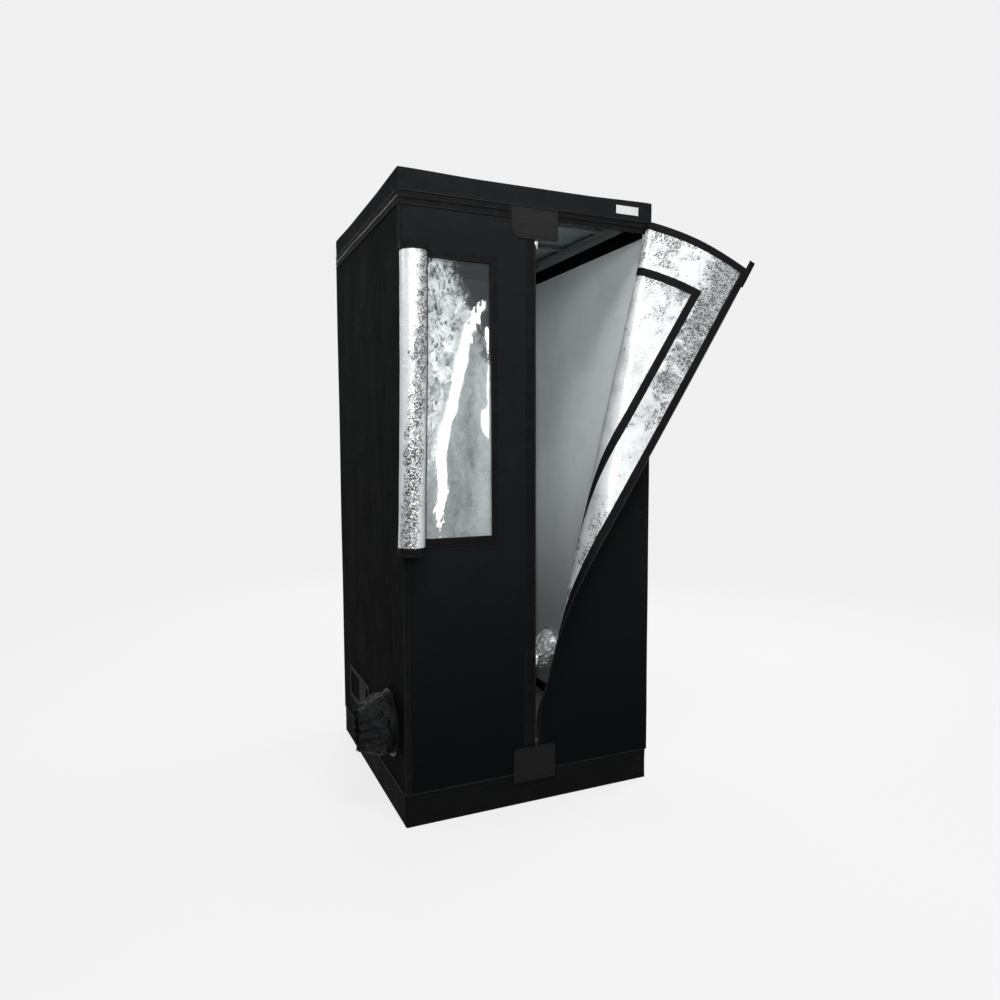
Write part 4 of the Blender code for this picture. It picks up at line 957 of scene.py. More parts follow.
def makeFloor():
    bpy.ops.mesh.primitive_plane_add(size=studio["floorSize"], location=(0, 0, 0))
    floor = bpy.context.object
    floor.name = "studioFloor"
    material = bpy.data.materials.new("studioPaper")
    material.use_nodes = True
    tree = material.node_tree
    tree.nodes.clear()
    lit = addNode(tree, "ShaderNodeBsdfDiffuse")
    speck = noiseNode(tree, placeOf(tree), *studio["paperSpeck"])
    paper = blendColour(tree, speck, *studio["paper"])
    path = addNode(tree, "ShaderNodeLightPath")
    feed(tree, lit.inputs[0], blendColour(tree, path.outputs["Is Diffuse Ray"], paper, studio["bounce"]))
    pale = addNode(tree, "ShaderNodeEmission")
    pale.inputs[0].default_value = studio["pale"]
    away = addNode(tree, "ShaderNodeVectorMath", operation="LENGTH")
    tree.links.new(placeOf(tree), away.inputs[0])
    glow = remap(tree, away.outputs["Value"], *studio["floorFade"], studio["floorGlow"], 1.0)
    mixLight(tree, times(tree, sightShare(tree), glow), lit, pale, "ShaderNodeOutputMaterial")
    paint(floor, "studioPaper")


def makeSurround():
    world = bpy.data.worlds.new("studioSurround")
    world.use_nodes = True
    tree = world.node_tree
    tree.nodes.clear()
    pale = addNode(tree, "ShaderNodeBackground")
    pale.inputs[0].default_value = studio["pale"]
    lit = addNode(tree, "ShaderNodeBackground")
    lit.inputs[0].default_value = (1, 1, 1, 1)
    lit.inputs[1].default_value = studio["fill"]
    mixLight(tree, sightShare(tree), lit, pale, "ShaderNodeOutputWorld")
    bpy.context.scene.world = world


def makeLamps():
    for name, place, aim, width, height, power in studio["lamps"]:
        data = bpy.data.lights.new(name, "AREA")
        data.shape = "ELLIPSE" if name == "stripLamp" else "RECTANGLE"
        data.size = width
        data.size_y = height
        data.energy = power
        lamp = bpy.data.objects.new(name, data)
        lamp.location = place
        lamp.rotation_euler = (Vector(aim) - Vector(place)).to_track_quat("-Z", "Y").to_euler()
        bpy.context.scene.collection.objects.link(lamp)
    bpy.context.scene.view_settings.view_transform = "Standard"


makeCamera()
makeFloor()
makeSurround()
makeLamps()
print("camera and studio ready")


# Frame: the CAD tubes, corners, bars, sliders and pulls keep their shape and get their finishes
frameLooks = {
    "post_": "tubePaint",
    # rails and hanging bars get the darker copy of the tube paint, as painted shade
    "rail_": "railPaint",
    "hanging_bar_": "railPaint",
    "corner_": "connectorPlastic",
    "zip_slider_upper": "sliderMetal",
    "zip_pull_upper": "sliderMetal",
    "zip_slider_lower": "darkMetal",
    "zip_pull_lower": "darkMetal",
}
for nodeName, nodePiece in frame["nodes"].items():
    for start, look in frameLooks.items():
        if nodeName.startswith(start):
            paint(nodePiece, look)


# Walls: left, right and back panels, black outside and silver inside, with round ports
walls = {
    "columns": 72,
    "rows": 140,
    "held": 0.10,            # distance from the sewn edges over which the slack grows
    "wave": 0.0024,          # depth of the slack waves
    "pull": 0.0030,          # depth of the pull lines near the lower corners
    "pullTop": 0.5,
    "pullFade": 0.45,
    "tuck": 0.0004,          # how far the panels stay behind the cap and the band
    "portSides": 72,
    "cutDepth": 0.1,
}


def wallSlack(along, up, seed):
    # how far the panel falls in, zero along its sewn edges
    edge = min(along, 2 * tent["half"] - along) / walls["held"]
    rise = min(up - tent["leafBottom"], tent["leafTop"] - up) / walls["held"]
    hold = smoothStep(edge) * smoothStep(rise)
    waves = ridge(along * 5.5 + seed, up * 0.9, seed) + 0.5 * ridge(along * 14 + seed, up * 2.1, seed + 3)
    lines = ridge((along + up) * 7, (up - along) * 1.3, seed + 7)
    low = smoothStep((walls["pullTop"] - up) / walls["pullFade"])
    slack = walls["wave"] * (0.75 - 0.5 * waves) + walls["pull"] * low * (1 - lines) * 0.5
    return walls["tuck"] + hold * slack


def makeWall(name, node, seed, place, port, spot, direction):
    # place takes the distance along the wall, the height and the depth behind its face
    width = 2 * tent["half"]

    def wallPoint(share, rise):
        along = width * share
        up = spread(tent["leafBottom"], tent["leafTop"], rise)
        return place(along, up, wallSlack(along, up, seed)), (along, up)

    wall = laidGrid(name, walls["columns"], walls["rows"], wallPoint)
    paint(wall, "outerCloth", "wallFoil")
    thicken(wall, tent["cloth"], innerSlot=1)
    bpy.ops.mesh.primitive_cylinder_add(vertices=walls["portSides"], radius=port["radius"],
                                        depth=walls["cutDepth"], location=(*spot, port["up"]))
    cutter = bpy.context.object
    cutter.rotation_euler = Vector(direction).to_track_quat("Z", "Y").to_euler()
    placeInMesh(cutter)
    cutWith(wall, cutter)
    smoothShade(wall)
    settle(wall, "outer_fabric", node)


def makeWalls():
    half = tent["half"]
    left, right, back = ports["left"], ports["right"], ports["back"]
    makeWall("leftWall", "wall_left", 2.0, lambda along, up, deep: Vector((-half + deep, half - along, up)),
             left, (-half, left["along"]), (1, 0, 0))
    makeWall("rightWall", "wall_right", 5.0, lambda along, up, deep: Vector((half - deep, along - half, up)),
             right, (half, right["along"]), (1, 0, 0))
    makeWall("backWall", "wall_back", 9.0, lambda along, up, deep: Vector((half - along, half - deep, up)),
             back, (back["along"], half), (0, 1, 0))


makeWalls()
print("walls made")


# Roof cap: a box of cloth with a skirt, slack on top and creased at its corners
cap = {
    "cuts": 39,
    "crowd": 1.8,            # how strongly the mesh lines crowd towards the edges
    "proud": 0.0004,         # how far the skirt stands out from the walls
    "round": 0.003,
    "sag": 0.004,
    "crease": 0.0062,
    "creaseReach": 0.13,
    "ripple": 0.0009,
    "mostPush": 0.0012,      # the furthest that a crease stands out
    "sideFade": 0.016,       # the creases die out over these distances from the upright and the level edges
    "edgeFade": 0.012,
    "peak": 0.0045,          # rise of the corners over the tubes
    "peakReach": 0.25,
}


def boxUv(piece):
    # metres of cloth on each face of a box-like piece
    layer = piece.data.uv_layers[0]
    for face in piece.data.polygons:
        across, flat, deep = (abs(part) for part in face.normal)
        for loop in face.loop_indices:
            spot = piece.data.vertices[piece.data.loops[loop].vertex_index].co
            if deep >= across and deep >= flat:
                layer.data[loop].uv = (spot.x, spot.y)
            elif across >= flat:
                layer.data[loop].uv = (spot.y, spot.z)
            else:
                layer.data[loop].uv = (spot.x, spot.z)


def openBox(name, cuts, openSide):
    # a box of 2 x 2 x 2 without its top (1) or bottom (-1)
    bpy.ops.mesh.primitive_cube_add(size=2, location=(0, 0, 0))
    piece = bpy.context.object
    piece.name = name
    dropFaces(piece, lambda spot, normal: normal.z * openSide > 0.5)
    openEdit(piece)
    bpy.ops.mesh.subdivide(number_cuts=cuts)
    closeEdit()
    return piece


def crowded(part, power):
    # moves a share between -1 and 1 towards the nearer end
    return math.copysign(1 - (1 - abs(part)) ** power, part)


def cornerNear(spot, reach, half):
    return smoothStep(1 - (half - abs(spot.x)) / reach) * smoothStep(1 - (half - abs(spot.y)) / reach)


def capPoint(share):
    half = tent["half"] + cap["proud"]
    up = spread(tent["capBottom"], tent["height"], (share.z + 1) / 2)
    spot = Vector((crowded(share.x, cap["crowd"]) * half, crowded(share.y, cap["crowd"]) * half, up))
    flat = half - cap["round"]
    level = tent["height"] - cap["round"]
    inner = Vector((max(min(spot.x, flat), -flat), max(min(spot.y, flat), -flat), min(up, level)))
    out = (spot - inner).normalized()
    spot = inner + out * cap["round"]

    onTop = smoothStep((spot.z - tent["height"] + cap["round"] * 1.2) / cap["round"])
    bow = (1 - (spot.x / half) ** 2) * (1 - (spot.y / half) ** 2)
    tight = 0.5 + 0.5 * ridge(spot.x * 5, spot.y * 5, 1.0)
    spot.z -= onTop * cap["sag"] * bow * (0.7 + 0.3 * tight)

    corner = cornerNear(spot, cap["creaseReach"], half)
    lines = ridge((abs(spot.x) + abs(spot.y)) * 22 + spot.z * 30, spot.z * 9, 4.0)
    push = corner * cap["crease"] * (lines - 0.55)
    push += cap["ripple"] * (ridge(spot.x * 9, spot.y * 9, spot.z * 16) - 0.6)
    aboveHem = smoothStep((spot.z - tent["capBottom"]) / cap["edgeFade"])
    if spot.z > tent["capBottom"]:
        push *= smoothStep((half + 0.001 - min(abs(spot.x), abs(spot.y))) / cap["sideFade"])
        push *= smoothStep((tent["height"] + 0.001 - spot.z) / cap["edgeFade"])
    spot += out * min(push * aboveHem, cap["mostPush"])
    spot.z += cap["peak"] * aboveHem * cornerNear(spot, cap["peakReach"], tent["half"])
    return spot


def makeCap():
    piece = openBox("roofCap", cap["cuts"], -1)
    for vertex in piece.data.vertices:
        vertex.co = capPoint(vertex.co)
    boxUv(piece)
    finishSheet(piece, ("capCloth", "roofLining"), tent["cloth"], angle=60)
    settle(piece, "outer_fabric", "roof_cap")


makeCap()


# Band round the foot and the panel under it
band = {
    "columns": 300,
    "rows": 10,
    "low": 0.0012,
    "corner": 0.004,
    "crease": 0.0018,
    "creaseReach": 0.10,
    "slack": 0.0014,
    "sideFade": 0.02,
    "tuck": 0.0006,
    "panelCuts": 40,
    "panelInset": 0.001,
    "panelUp": 0.0014,
}


def makeBand():
    whole = planLength(tent["half"], band["corner"])

    def bandPoint(share, rise):
        spot, out = aroundTent(-share * whole, tent["half"], band["corner"])
        up = spread(band["low"], tent["bandTop"], rise)
        corner = cornerNear(spot, band["creaseReach"], tent["half"])
        lines = ridge((abs(spot.x) + abs(spot.y)) * 26 + up * 34, up * 12, spot.x * 3)
        slack = band["slack"] * ridge(spot.x * 7 + 3, spot.y * 7, up * 11)
        inFace = smoothStep((tent["half"] - min(abs(spot.x), abs(spot.y))) / band["sideFade"])
        deep = band["crease"] * corner * (1 - lines) + max(slack, 0.0)
        deep *= inFace * math.sin(math.pi * min(rise, 0.999))
        tuck = band["tuck"] * (1 - rise) * inFace
        return spot + Vector((0, 0, up)) - out * (deep + tuck), (share * whole, up)

    piece = laidGrid("bottomBand", band["columns"], band["rows"], bandPoint)
    weld(piece)
    finishSheet(piece, ("bandCloth", "wallFoil"), tent["cloth"], angle=60)
    settle(piece, "outer_fabric", "bottom_band")


def makeBasePanel():
    edge = tent["half"] - band["panelInset"]

    def panelPoint(share, rise):
        x, y = (max(min(spread(-tent["half"], tent["half"], part), edge), -edge) for part in (share, rise))
        return Vector((x, y, band["panelUp"])), (x, y)

    panel = laidGrid("basePanel", band["panelCuts"], band["panelCuts"], panelPoint)
    paint(panel, "wallFoil", "outerCloth")
    thicken(panel, tent["cloth"], innerSlot=1)
    settle(panel, "outer_fabric", "base_panel")


makeBand()
makeBasePanel()


# Piping: a cord in a cloth sleeve along the cap and the band, and a thinner one down each corner
piping = {
    "radius": 0.0022,
    "steps": 160,
    "cornerShares": (0.0, 0.33, 0.67, 1.0),
    "drift": 0.0005,
    "bandDrop": 0.0005,
    "bandLift": 0.0008,
    "capRise": 0.0015,
    "capLift": 0.0014,
    "seamRadius": 0.0016,
    "seamSteps": 40,
    "seamLift": 0.0012,
    "seamDrift": 0.0008,
    "corners": {"FrontLeft": (-1, -1), "FrontRight": (1, -1), "BackLeft": (-1, 1), "BackRight": (1, 1)},
}


def pipingRing(name, up, lift, *nodes):
    half = tent["half"] + lift
    corner = tent["corner"] + lift
    whole = planLength(half, corner)
    points = []
    for step in range(piping["steps"]):
        spot = aroundTent(-whole * step / piping["steps"], half, corner)[0]
        points.append(spot + Vector((0, 0, up + piping["drift"] * wobble(spot.x * 9, spot.y * 9, up))))
    for which in range(4):
        for share in piping["cornerShares"]:
            distance = (half - corner) + which * whole / 4 + share * corner * math.pi / 2
            points.append(aroundTent(distance, half, corner)[0] + Vector((0, 0, up)))
    points.sort(key=lambda spot: math.atan2(spot.y, spot.x))
    settle(tubeAlong(name, points, piping["radius"], "pipingVinyl", closed=True), "piping", *nodes)


def makePiping():
    pipingRing("bandPiping", tent["bandTop"] - piping["bandDrop"], piping["bandLift"])
    pipingRing("capPiping", tent["capBottom"] + piping["capRise"], piping["capLift"], "cap_piping")
    reach = tent["half"] - tent["corner"] + tent["corner"] * math.sqrt(0.5) + piping["seamLift"]
    for name, (sideX, sideY) in piping["corners"].items():
        points = []
        for step in range(piping["seamSteps"] + 1):
            up = spread(tent["bandTop"], tent["capBottom"], step / piping["seamSteps"])
            away = reach + piping["seamDrift"] * wobble(up * 3, sideX, sideY)
            points.append((sideX * away, sideY * away, up))
        settle(tubeAlong("cornerPiping" + name, points, piping["seamRadius"], "pipingVinyl"), "piping")


# Zip tape between the cap and the walls, from the top zip flap round by the left and back to the right corner
capZip = {
    "tape": 0.036,
    "tapeLift": 0.0010,
    "tapeThickness": 0.0009,
    "tapeGap": 0.0004,
    "start": 0.0725,
    "endGap": 0.004,
    "columns": 260,
    "rows": 36,
    "lines": (1.727, 1.709),         # heights of the two raised lines
    "lineRise": 0.0024,
    "lineWidth": 0.0022,
    "cordRadius": 0.0015,
    "cordLift": 0.0012,
    "cordSteps": 80,
    "cordSway": (0.0022, 0.0008),
    "cordDrop": 0.004,
    "cordEnds": 0.10,
}


def makeCapZip():
    half = tent["half"] + capZip["tapeLift"]
    whole = 7 * tent["half"] - capZip["endGap"] - capZip["start"]
    low, high = tent["capBottom"] - capZip["tape"], tent["capBottom"] - capZip["tapeGap"]

    def tapePoint(share, rise):
        spot, out = aroundTent(capZip["start"] + whole * (1 - share), half, tent["corner"])
        up = spread(low, high, rise)
        raised = sum(math.exp(-((up - line) / capZip["lineWidth"]) ** 2) for line in capZip["lines"])
        spot += Vector((0, 0, up)) + out * capZip["lineRise"] * raised
        return spot, edgeUv(share * whole, rise * capZip["tape"], capZip["tape"])

    points = []
    wide, fine = capZip["cordSway"]
    ends = capZip["cordEnds"]
    for step in range(capZip["cordSteps"] + 1):
        along = spread(-tent["half"], tent["half"], step / capZip["cordSteps"])
        sway = wide * wobble(along * 5, 1.0) + fine * wobble(along * 17, 4.0)
        drop = capZip["cordDrop"] * smoothStep((along - tent["half"] + ends) / ends)
        points.append((-half - capZip["cordLift"], along, capZip["lines"][0] + sway - drop))
    settle(tubeAlong("capZipCord", points, capZip["cordRadius"], "zipCord"), "piping")

    tape = laidGrid("capZipTape", capZip["columns"], capZip["rows"], tapePoint)
    finishSheet(tape, ("edgeTape",), capZip["tapeThickness"], angle=60)
    settle(tape, "webbing")


makePiping()
makeCapZip()
print("cap, band and piping made")


# Flat strips and frames, modelled on a face and then set where that face is
def frontPlace(x, up, lift):
    return Vector((x, tent["front"] - lift, up))


def leftPlace(along, up, lift):
    return Vector((-tent["half"] - lift, -along, up))


def strip(name, low, high, place, look, columns, rows, thickness=0.0010, lift=0.0003, alongUp=True):
    # a rectangle of tape between two corners of a face; its UV counts in from the nearer long edge
    width = high[0] - low[0]
    height = high[1] - low[1]

    def stripPoint(share, rise):
        spot = place(spread(low[0], high[0], share), spread(low[1], high[1], rise), lift)
        if alongUp:
            return spot, edgeUv(rise * height, share * width, width)
        return spot, edgeUv(share * width, rise * height, height)

    piece = laidGrid(name, columns, rows, stripPoint)
    finishSheet(piece, (look,), thickness, offset=1)
    return piece


def ringStrip(name, low, high, width, place, steps, lift=0.0003):
    # a mitred frame of webbing inside the rectangle low to high
    corners = ((low[0], low[1]), (high[0], low[1]), (high[0], high[1]), (low[0], high[1]))
    inward = ((1, 1), (-1, 1), (-1, -1), (1, -1))

    def ringPoint(share, rise):
        whole = int(share * 4 + 0.00001)
        part = max(share * 4 - whole, 0.0)
        side = whole % 4
        after = (side + 1) % 4
        first = [corners[side][axis] + inward[side][axis] * width * rise for axis in (0, 1)]
        last = [corners[after][axis] + inward[after][axis] * width * rise for axis in (0, 1)]
        spot = place(spread(first[0], last[0], part), spread(first[1], last[1], part), lift)
        return spot, edgeUv(part * math.dist(corners[side], corners[after]), rise * width, width)

    piece = laidGrid(name, 4 * steps, 4, ringPoint)
    weld(piece)
    finishSheet(piece, ("blackWebbing",), tent["cloth"], offset=1)
    return piece


def meshLines(places, counts):
    # places that a mesh line must pass through, and the number of steps from each to the next
    lines = []
    for start, end, count in zip(places, places[1:], counts):
        lines += [spread(start, end, step / count) for step in range(count)]
    return lines + [places[-1]]


def atShare(lines, share):
    return lines[round(share * (len(lines) - 1))]


# Left leaf: closed, with its window, its rolled cover and the cover strip over the zip
leftLeaf = {
    "edge": 0.004,
    "wave": 0.0022,
    "across": (4, 22, 14),          # mesh steps beside, over and beside the window
    "upward": (56, 60, 14),
    "webbingSteps": 40,
    "seamStrip": 0.015,
    "seamTop": 1.706,
    "cover": ((-0.033, 0.176), (0.003, 1.652)),
    "coverBulge": 0.0010,
    "coverWave": 0.0005,
}


def leafWave(x, up, seed):
    # outward slack of a leaf, held flat along its edges and round its window
    edge = smoothStep(min(x + tent["leafSide"], abs(x) + 0.012) / 0.05)
    rise = smoothStep(min(up - tent["leafBottom"], tent["leafTop"] - up) / 0.08)
    beside = max(window["near"] - abs(x), abs(x) - window["far"], window["bottom"] - up, up - window["top"])
    free = smoothStep((beside + 0.004) / 0.06)
    waves = 0.6 + 0.4 * ridge(x * 6 + seed, up * 1.6, seed) + 0.35 * wobble(x * 15, up * 5, seed + 2)
    return leftLeaf["wave"] * edge * rise * free * max(waves, 0.0)


def makeLeftLeaf():
    hole = window["webbing"] - window["lap"]
    near, far = window["near"] + hole, window["far"] - hole
    low, high = window["bottom"] + hole, window["top"] - hole
    across = meshLines((-tent["leafSide"], -far, -near, leftLeaf["edge"]), leftLeaf["across"])
    upward = meshLines((tent["leafBottom"], low, high, tent["leafTop"]), leftLeaf["upward"])

    def leafPoint(share, rise):
        x, up = atShare(across, share), atShare(upward, rise)
        return frontPlace(x, up, leafWave(x, up, 1.0)), (x, up)

    leaf = laidGrid("leftLeaf", len(across) - 1, len(upward) - 1, leafPoint)
    dropFaces(leaf, lambda spot, normal: -far < spot.x < -near and low < spot.z < high)
    finishSheet(leaf, ("leafCloth", "wallFoil"), tent["cloth"])
    settle(leaf, "leaf_fabric", "door_left")


def makeLeftTrim():
    low, high = (-window["far"], window["bottom"]), (-window["near"], window["top"])
    webbing = ringStrip("leftWindowWebbing", low, high, window["webbing"], frontPlace,
                        leftLeaf["webbingSteps"])
    settle(webbing, "webbing", "window_left_frame")
    low, high = leftLeaf["cover"]

    def coverPlace(x, up, lift):
        bulge = leftLeaf["coverBulge"] * math.sin(math.pi * (x - low[0]) / (high[0] - low[0]))
        return frontPlace(x, up, lift + bulge + leftLeaf["coverWave"] * wobble(up * 6, x * 30))

    settle(strip("leftZipCover", low, high, coverPlace, "edgeTape", 8, 150), "webbing")
    low = (-tent["leafSide"], tent["bandTop"] + 0.002)
    high = (leftLeaf["seamStrip"] - tent["leafSide"], leftLeaf["seamTop"])
    settle(strip("leftSeamStrip", low, high, frontPlace, "edgeTape", 4, 120), "webbing")


# Clear film of the left window, twisted and bent a little so that it mirrors a tall lamp as the real one does
film = {
    "columns": 90,
    "rows": 260,
    "thickness": 0.0003,
    "gap": 0.0004,
    "back": 0.0050,          # how far back the film lies in its middle
    "hidden": 0.014,         # strip along its edges that the leaf covers
    "middle": -0.225,
    # height, slope of the film there, and where across it a tall light is mirrored
    "twist": [
        (0.80, 0.0330, -0.291), (0.876, 0.0330, -0.291), (0.965, 0.0311, -0.286), (1.036, 0.0324, -0.290),
        (1.123, 0.0282, -0.278), (1.176, 0.0174, -0.246), (1.256, 0.0106, -0.227), (1.322, 0.0057, -0.213),
        (1.374, 0.0016, -0.201), (1.430, -0.0048, -0.182), (1.473, -0.0106, -0.165), (1.60, -0.0106, -0.165),
    ],
    "bendFrom": (-0.205, -0.166),    # where the bend starts, below and above bendStep
    "bendStep": 1.185,
    "bendAt": -0.139,
    "bendTo": -0.0193,       # slope reached at bendAt, between the next two heights
    "bendSpan": (0.985, 1.425),
    "bendFade": (0.03, 0.04),
    "wave": 0.00022,
    "crease": 0.00045,
    "creaseGap": 0.034,      # how far to the left of the mirrored light the crinkles start
    "creaseLow": (1.05, 0.15),
}


def filmTwist(up):
    for low, high in zip(film["twist"], film["twist"][1:]):
        if up <= high[0]:
            share = smoothStep((up - low[0]) / (high[0] - low[0]))
            return spread(low[1], high[1], share), spread(low[2], high[2], share)
    return film["twist"][-1][1:]


def filmDeep(x, up):
    # how far the film lies back: a slight twist, a bend by its inner edge, soft waves, crinkles to the left
    slope, mirrored = filmTwist(up)
    low, high = film["bendSpan"]
    fadeLow, fadeHigh = film["bendFade"]
    bend = (slope - film["bendTo"]) * smoothStep((up - low) / fadeLow) * smoothStep((high - up) / fadeHigh)
    bend *= 0.85 + 0.5 * wobble(up * 11, 3.0)
    start = spread(*film["bendFrom"], smoothStep((up - film["bendStep"]) / fadeLow + 0.5))
    curl = max(x - start, 0.0) ** 2 / (2 * (film["bendAt"] - start))
    deep = film["back"] + slope * (x - film["middle"]) - bend * curl
    waves = film["wave"] * wobble(x * 9 + up * 1.5, up * 5, 3.0)
    low, reach = film["creaseLow"]
    left = smoothStep((mirrored - film["creaseGap"] - x) / 0.05)
    left *= 0.25 + 0.75 * smoothStep((up - low) / reach)
    creases = film["crease"] * left * ridge(x * 20 + up * 4, up * 13 - x * 6, 9.0)
    return max(deep + waves - creases, 0.0)


def makeLeftFilm():
    low = (-window["far"] + window["lap"], window["bottom"] + window["lap"])
    high = (-window["near"] - window["lap"], window["top"] - window["lap"])

    def filmPoint(share, rise):
        x, up = spread(low[0], high[0], share), spread(low[1], high[1], rise)
        held = smoothStep(min(x - low[0], high[0] - x, up - low[1], high[1] - up) / film["hidden"])
        return frontPlace(x, up, -tent["cloth"] - film["gap"] - held * filmDeep(x, up)), (x, up)

    sheet = laidGrid("leftWindowFilm", film["columns"], film["rows"], filmPoint)
    finishSheet(sheet, ("clearFilm",), film["thickness"], angle=70)
    settle(sheet, "window_film", "window_left_film")


makeLeftLeaf()
makeLeftTrim()
makeLeftFilm()
print("left leaf made")


# Cover of the left window, rolled up sideways with its silver side out
roll = {
    "middleX": -0.377,
    "middleY": -0.4403,
    "outer": 0.0395,
    "inner": 0.0325,
    "turns": 500,            # degrees
    "startAngle": 100,       # degrees; 90 is the side that touches the leaf
    "bottom": 0.779,
    "top": 1.600,
    "lean": 0.020,           # sideways per metre of height, about leanMiddle
    "leanMiddle": 1.32,
    "sway": 0.0018,
    "swayPace": 4.4,
    "dent": 0.0016,
    "thickness": 0.0012,
    "columns": 120,
    "rows": 150,
    "hem": 0.022,
    "hemTurn": 0.78,         # share of the cover that the hems run along
    "hemLift": 0.0011,
    "hemEdge": 0.0006,
    "hemThickness": 0.0009,
    "edgeTurn": (0.262, 0.242),
    "edgeWidth": 0.006,
    "edgeGap": 0.001,
    "edgeLift": 0.0014,
    "edgeThickness": 0.0008,
}


def rollPoint(turn, up, lift):
    # turn runs from 0 at the sewn edge outside to 1 at the free edge inside
    angle = math.radians(roll["startAngle"] - roll["turns"] * turn)
    x, y = math.cos(angle), math.sin(angle)
    dents = 0.6 * wobble(x * 1.1, y * 1.1, up * 3.4) + 0.5 * wobble(angle, up * 11, 2.0)
    radius = spread(roll["outer"], roll["inner"], turn) + lift + roll["dent"] * (dents - 0.35)
    sway = roll["sway"] * math.sin((up - roll["bottom"]) * roll["swayPace"])
    sway += roll["lean"] * (up - roll["leanMiddle"])
    return Vector((roll["middleX"] + radius * x + sway, roll["middleY"] + radius * y, up))


def makeRoll():
    length = math.radians(roll["turns"]) * (roll["outer"] + roll["inner"]) / 2
    height = roll["top"] - roll["bottom"]

    def coverPoint(share, rise):
        up = spread(roll["bottom"], roll["top"], rise)
        return rollPoint(1 - share, up, 0.0), ((1 - share) * length, up)

    cover = laidGrid("leftRolledCover", roll["columns"], roll["rows"], coverPoint)
    finishSheet(cover, ("rollFoil", "leafCloth"), roll["thickness"], angle=60)
    settle(cover, "lining", "window_left_roll")

    for name, low in (("leftRollTopHem", roll["top"] - roll["hem"]), ("leftRollFootHem", roll["bottom"])):
        def hemPoint(share, rise, low=low):
            up = spread(low - roll["hemEdge"], low + roll["hem"] + roll["hemEdge"], rise)
            spot = rollPoint(roll["hemTurn"] * (1 - share), up, roll["hemLift"])
            return spot, edgeUv(share * length, rise * roll["hem"], roll["hem"])
        hem = laidGrid(name, roll["columns"], 8, hemPoint)
        finishSheet(hem, ("blackWebbing",), roll["hemThickness"], angle=60)
        settle(hem, "webbing")

    def edgePoint(share, rise):
        up = spread(roll["bottom"] + roll["edgeGap"], roll["top"] - roll["edgeGap"], rise)
        spot = rollPoint(spread(*roll["edgeTurn"], share), up, roll["edgeLift"])
        return spot, edgeUv(rise * height, share * roll["edgeWidth"], roll["edgeWidth"])
    edge = laidGrid("leftRollEdgeTape", 4, 120, edgePoint)
    finishSheet(edge, ("edgeTape",), roll["edgeThickness"], angle=60)
    settle(edge, "webbing")


makeRoll()
print("rolled cover made")


# Right leaf: one sheet whose free upper corner is folded outwards, silver side showing
fold = {
    "freeEdge": 0.008,
    "foot": (0.0715, 0.197),
    "head": (0.392, 1.7427),
    "radiusFoot": 0.1147,
    "radiusTop": 0.0120,
    "turn": 158,             # degrees
    "flatHeight": 0.020,
    "easeHeight": 0.170,
    "easeFloor": 0.03,
    "bend": 1.250,
    "bow": 0.014,            # rise of the top edge between the fold and the free corner
    "bowSpan": 0.376,
    "middleY": -0.39925,
}
foldFoot = Vector((fold["foot"][0], 0, fold["foot"][1]))
foldHead = Vector((fold["head"][0], 0, fold["head"][1]))
foldLength = (foldHead - foldFoot).length
alongFold = (foldHead - foldFoot) / foldLength
acrossFold = Vector((-alongFold.z, 0, alongFold.x))
outward = Vector((0, -1, 0))


def rollRadius(along, up):
    share = min(max(along / foldLength, 0.0), 1.0)
    ease = (up - fold["foot"][1] - fold["flatHeight"]) / fold["easeHeight"]
    return spread(fold["radiusFoot"], fold["radiusTop"], share) / smoothStep(max(ease, fold["easeFloor"]))


def foldedPoint(x, up, lift):
    # the place of a point of the flat leaf after folding, and how far round the fold it is;
    # lift is towards the silver side
    flat = Vector((x, 0, up)) - foldFoot
    along = flat.dot(alongFold)
    across = flat.dot(acrossFold)
    if across <= 0:
        return Vector((x, fold["middleY"] + lift, up)), 0.0
    radius = rollRadius(along, up)
    arc = radius * math.radians(fold["turn"])
    angle = min(across, arc) / radius
    final = angle + max(across - arc, 0.0) / fold["bend"]
    inPlane = radius * math.sin(angle) + fold["bend"] * (math.sin(final) - math.sin(angle))
    out = radius * (1 - math.cos(angle)) + fold["bend"] * (math.cos(angle) - math.cos(final))
    bow = fold["bow"] * math.sin(math.pi * min(across / fold["bowSpan"], 1.0)) * smoothStep(along / foldLength)
    spot = foldFoot + alongFold * (along + bow) + acrossFold * inPlane + outward * out
    spot.y += fold["middleY"]
    return spot + (acrossFold * math.sin(final) - outward * math.cos(final)) * lift, min(across, arc) / arc


def foldOver(piece):
    # takes a piece modelled on the flat leaf to the folded leaf and lets it bend with the fold
    spots = [vertex.co.copy() for vertex in piece.data.vertices]
    places = [foldedPoint(spot.x, spot.z, spot.y - fold["middleY"]) for spot in spots]
    for vertex, (_, turned) in zip(piece.data.vertices, places):
        vertex.co = (turned, 0, 0)
    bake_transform(piece)
    for vertex, (spot, _) in zip(piece.data.vertices, places):
        vertex.co = spot
    piece.data.update()


rightLeaf = {
    "across": (44, 74, 4),          # mesh steps beside, over and beside the window
    "upward": (80, 96, 18),
    "rumple": 0.0030,
    "webbingSteps": 56,
    "webbingLift": 0.0009,
    "tapeLift": 0.0008,
    "edgeTape": 0.022,
    "edgeStep": 0.001,
    "edgeFoot": 0.002,
    "topTape": 0.024,
    "topGap": 0.0002,
    "outerTape": 0.012,
    "outerFoot": 0.010,
}


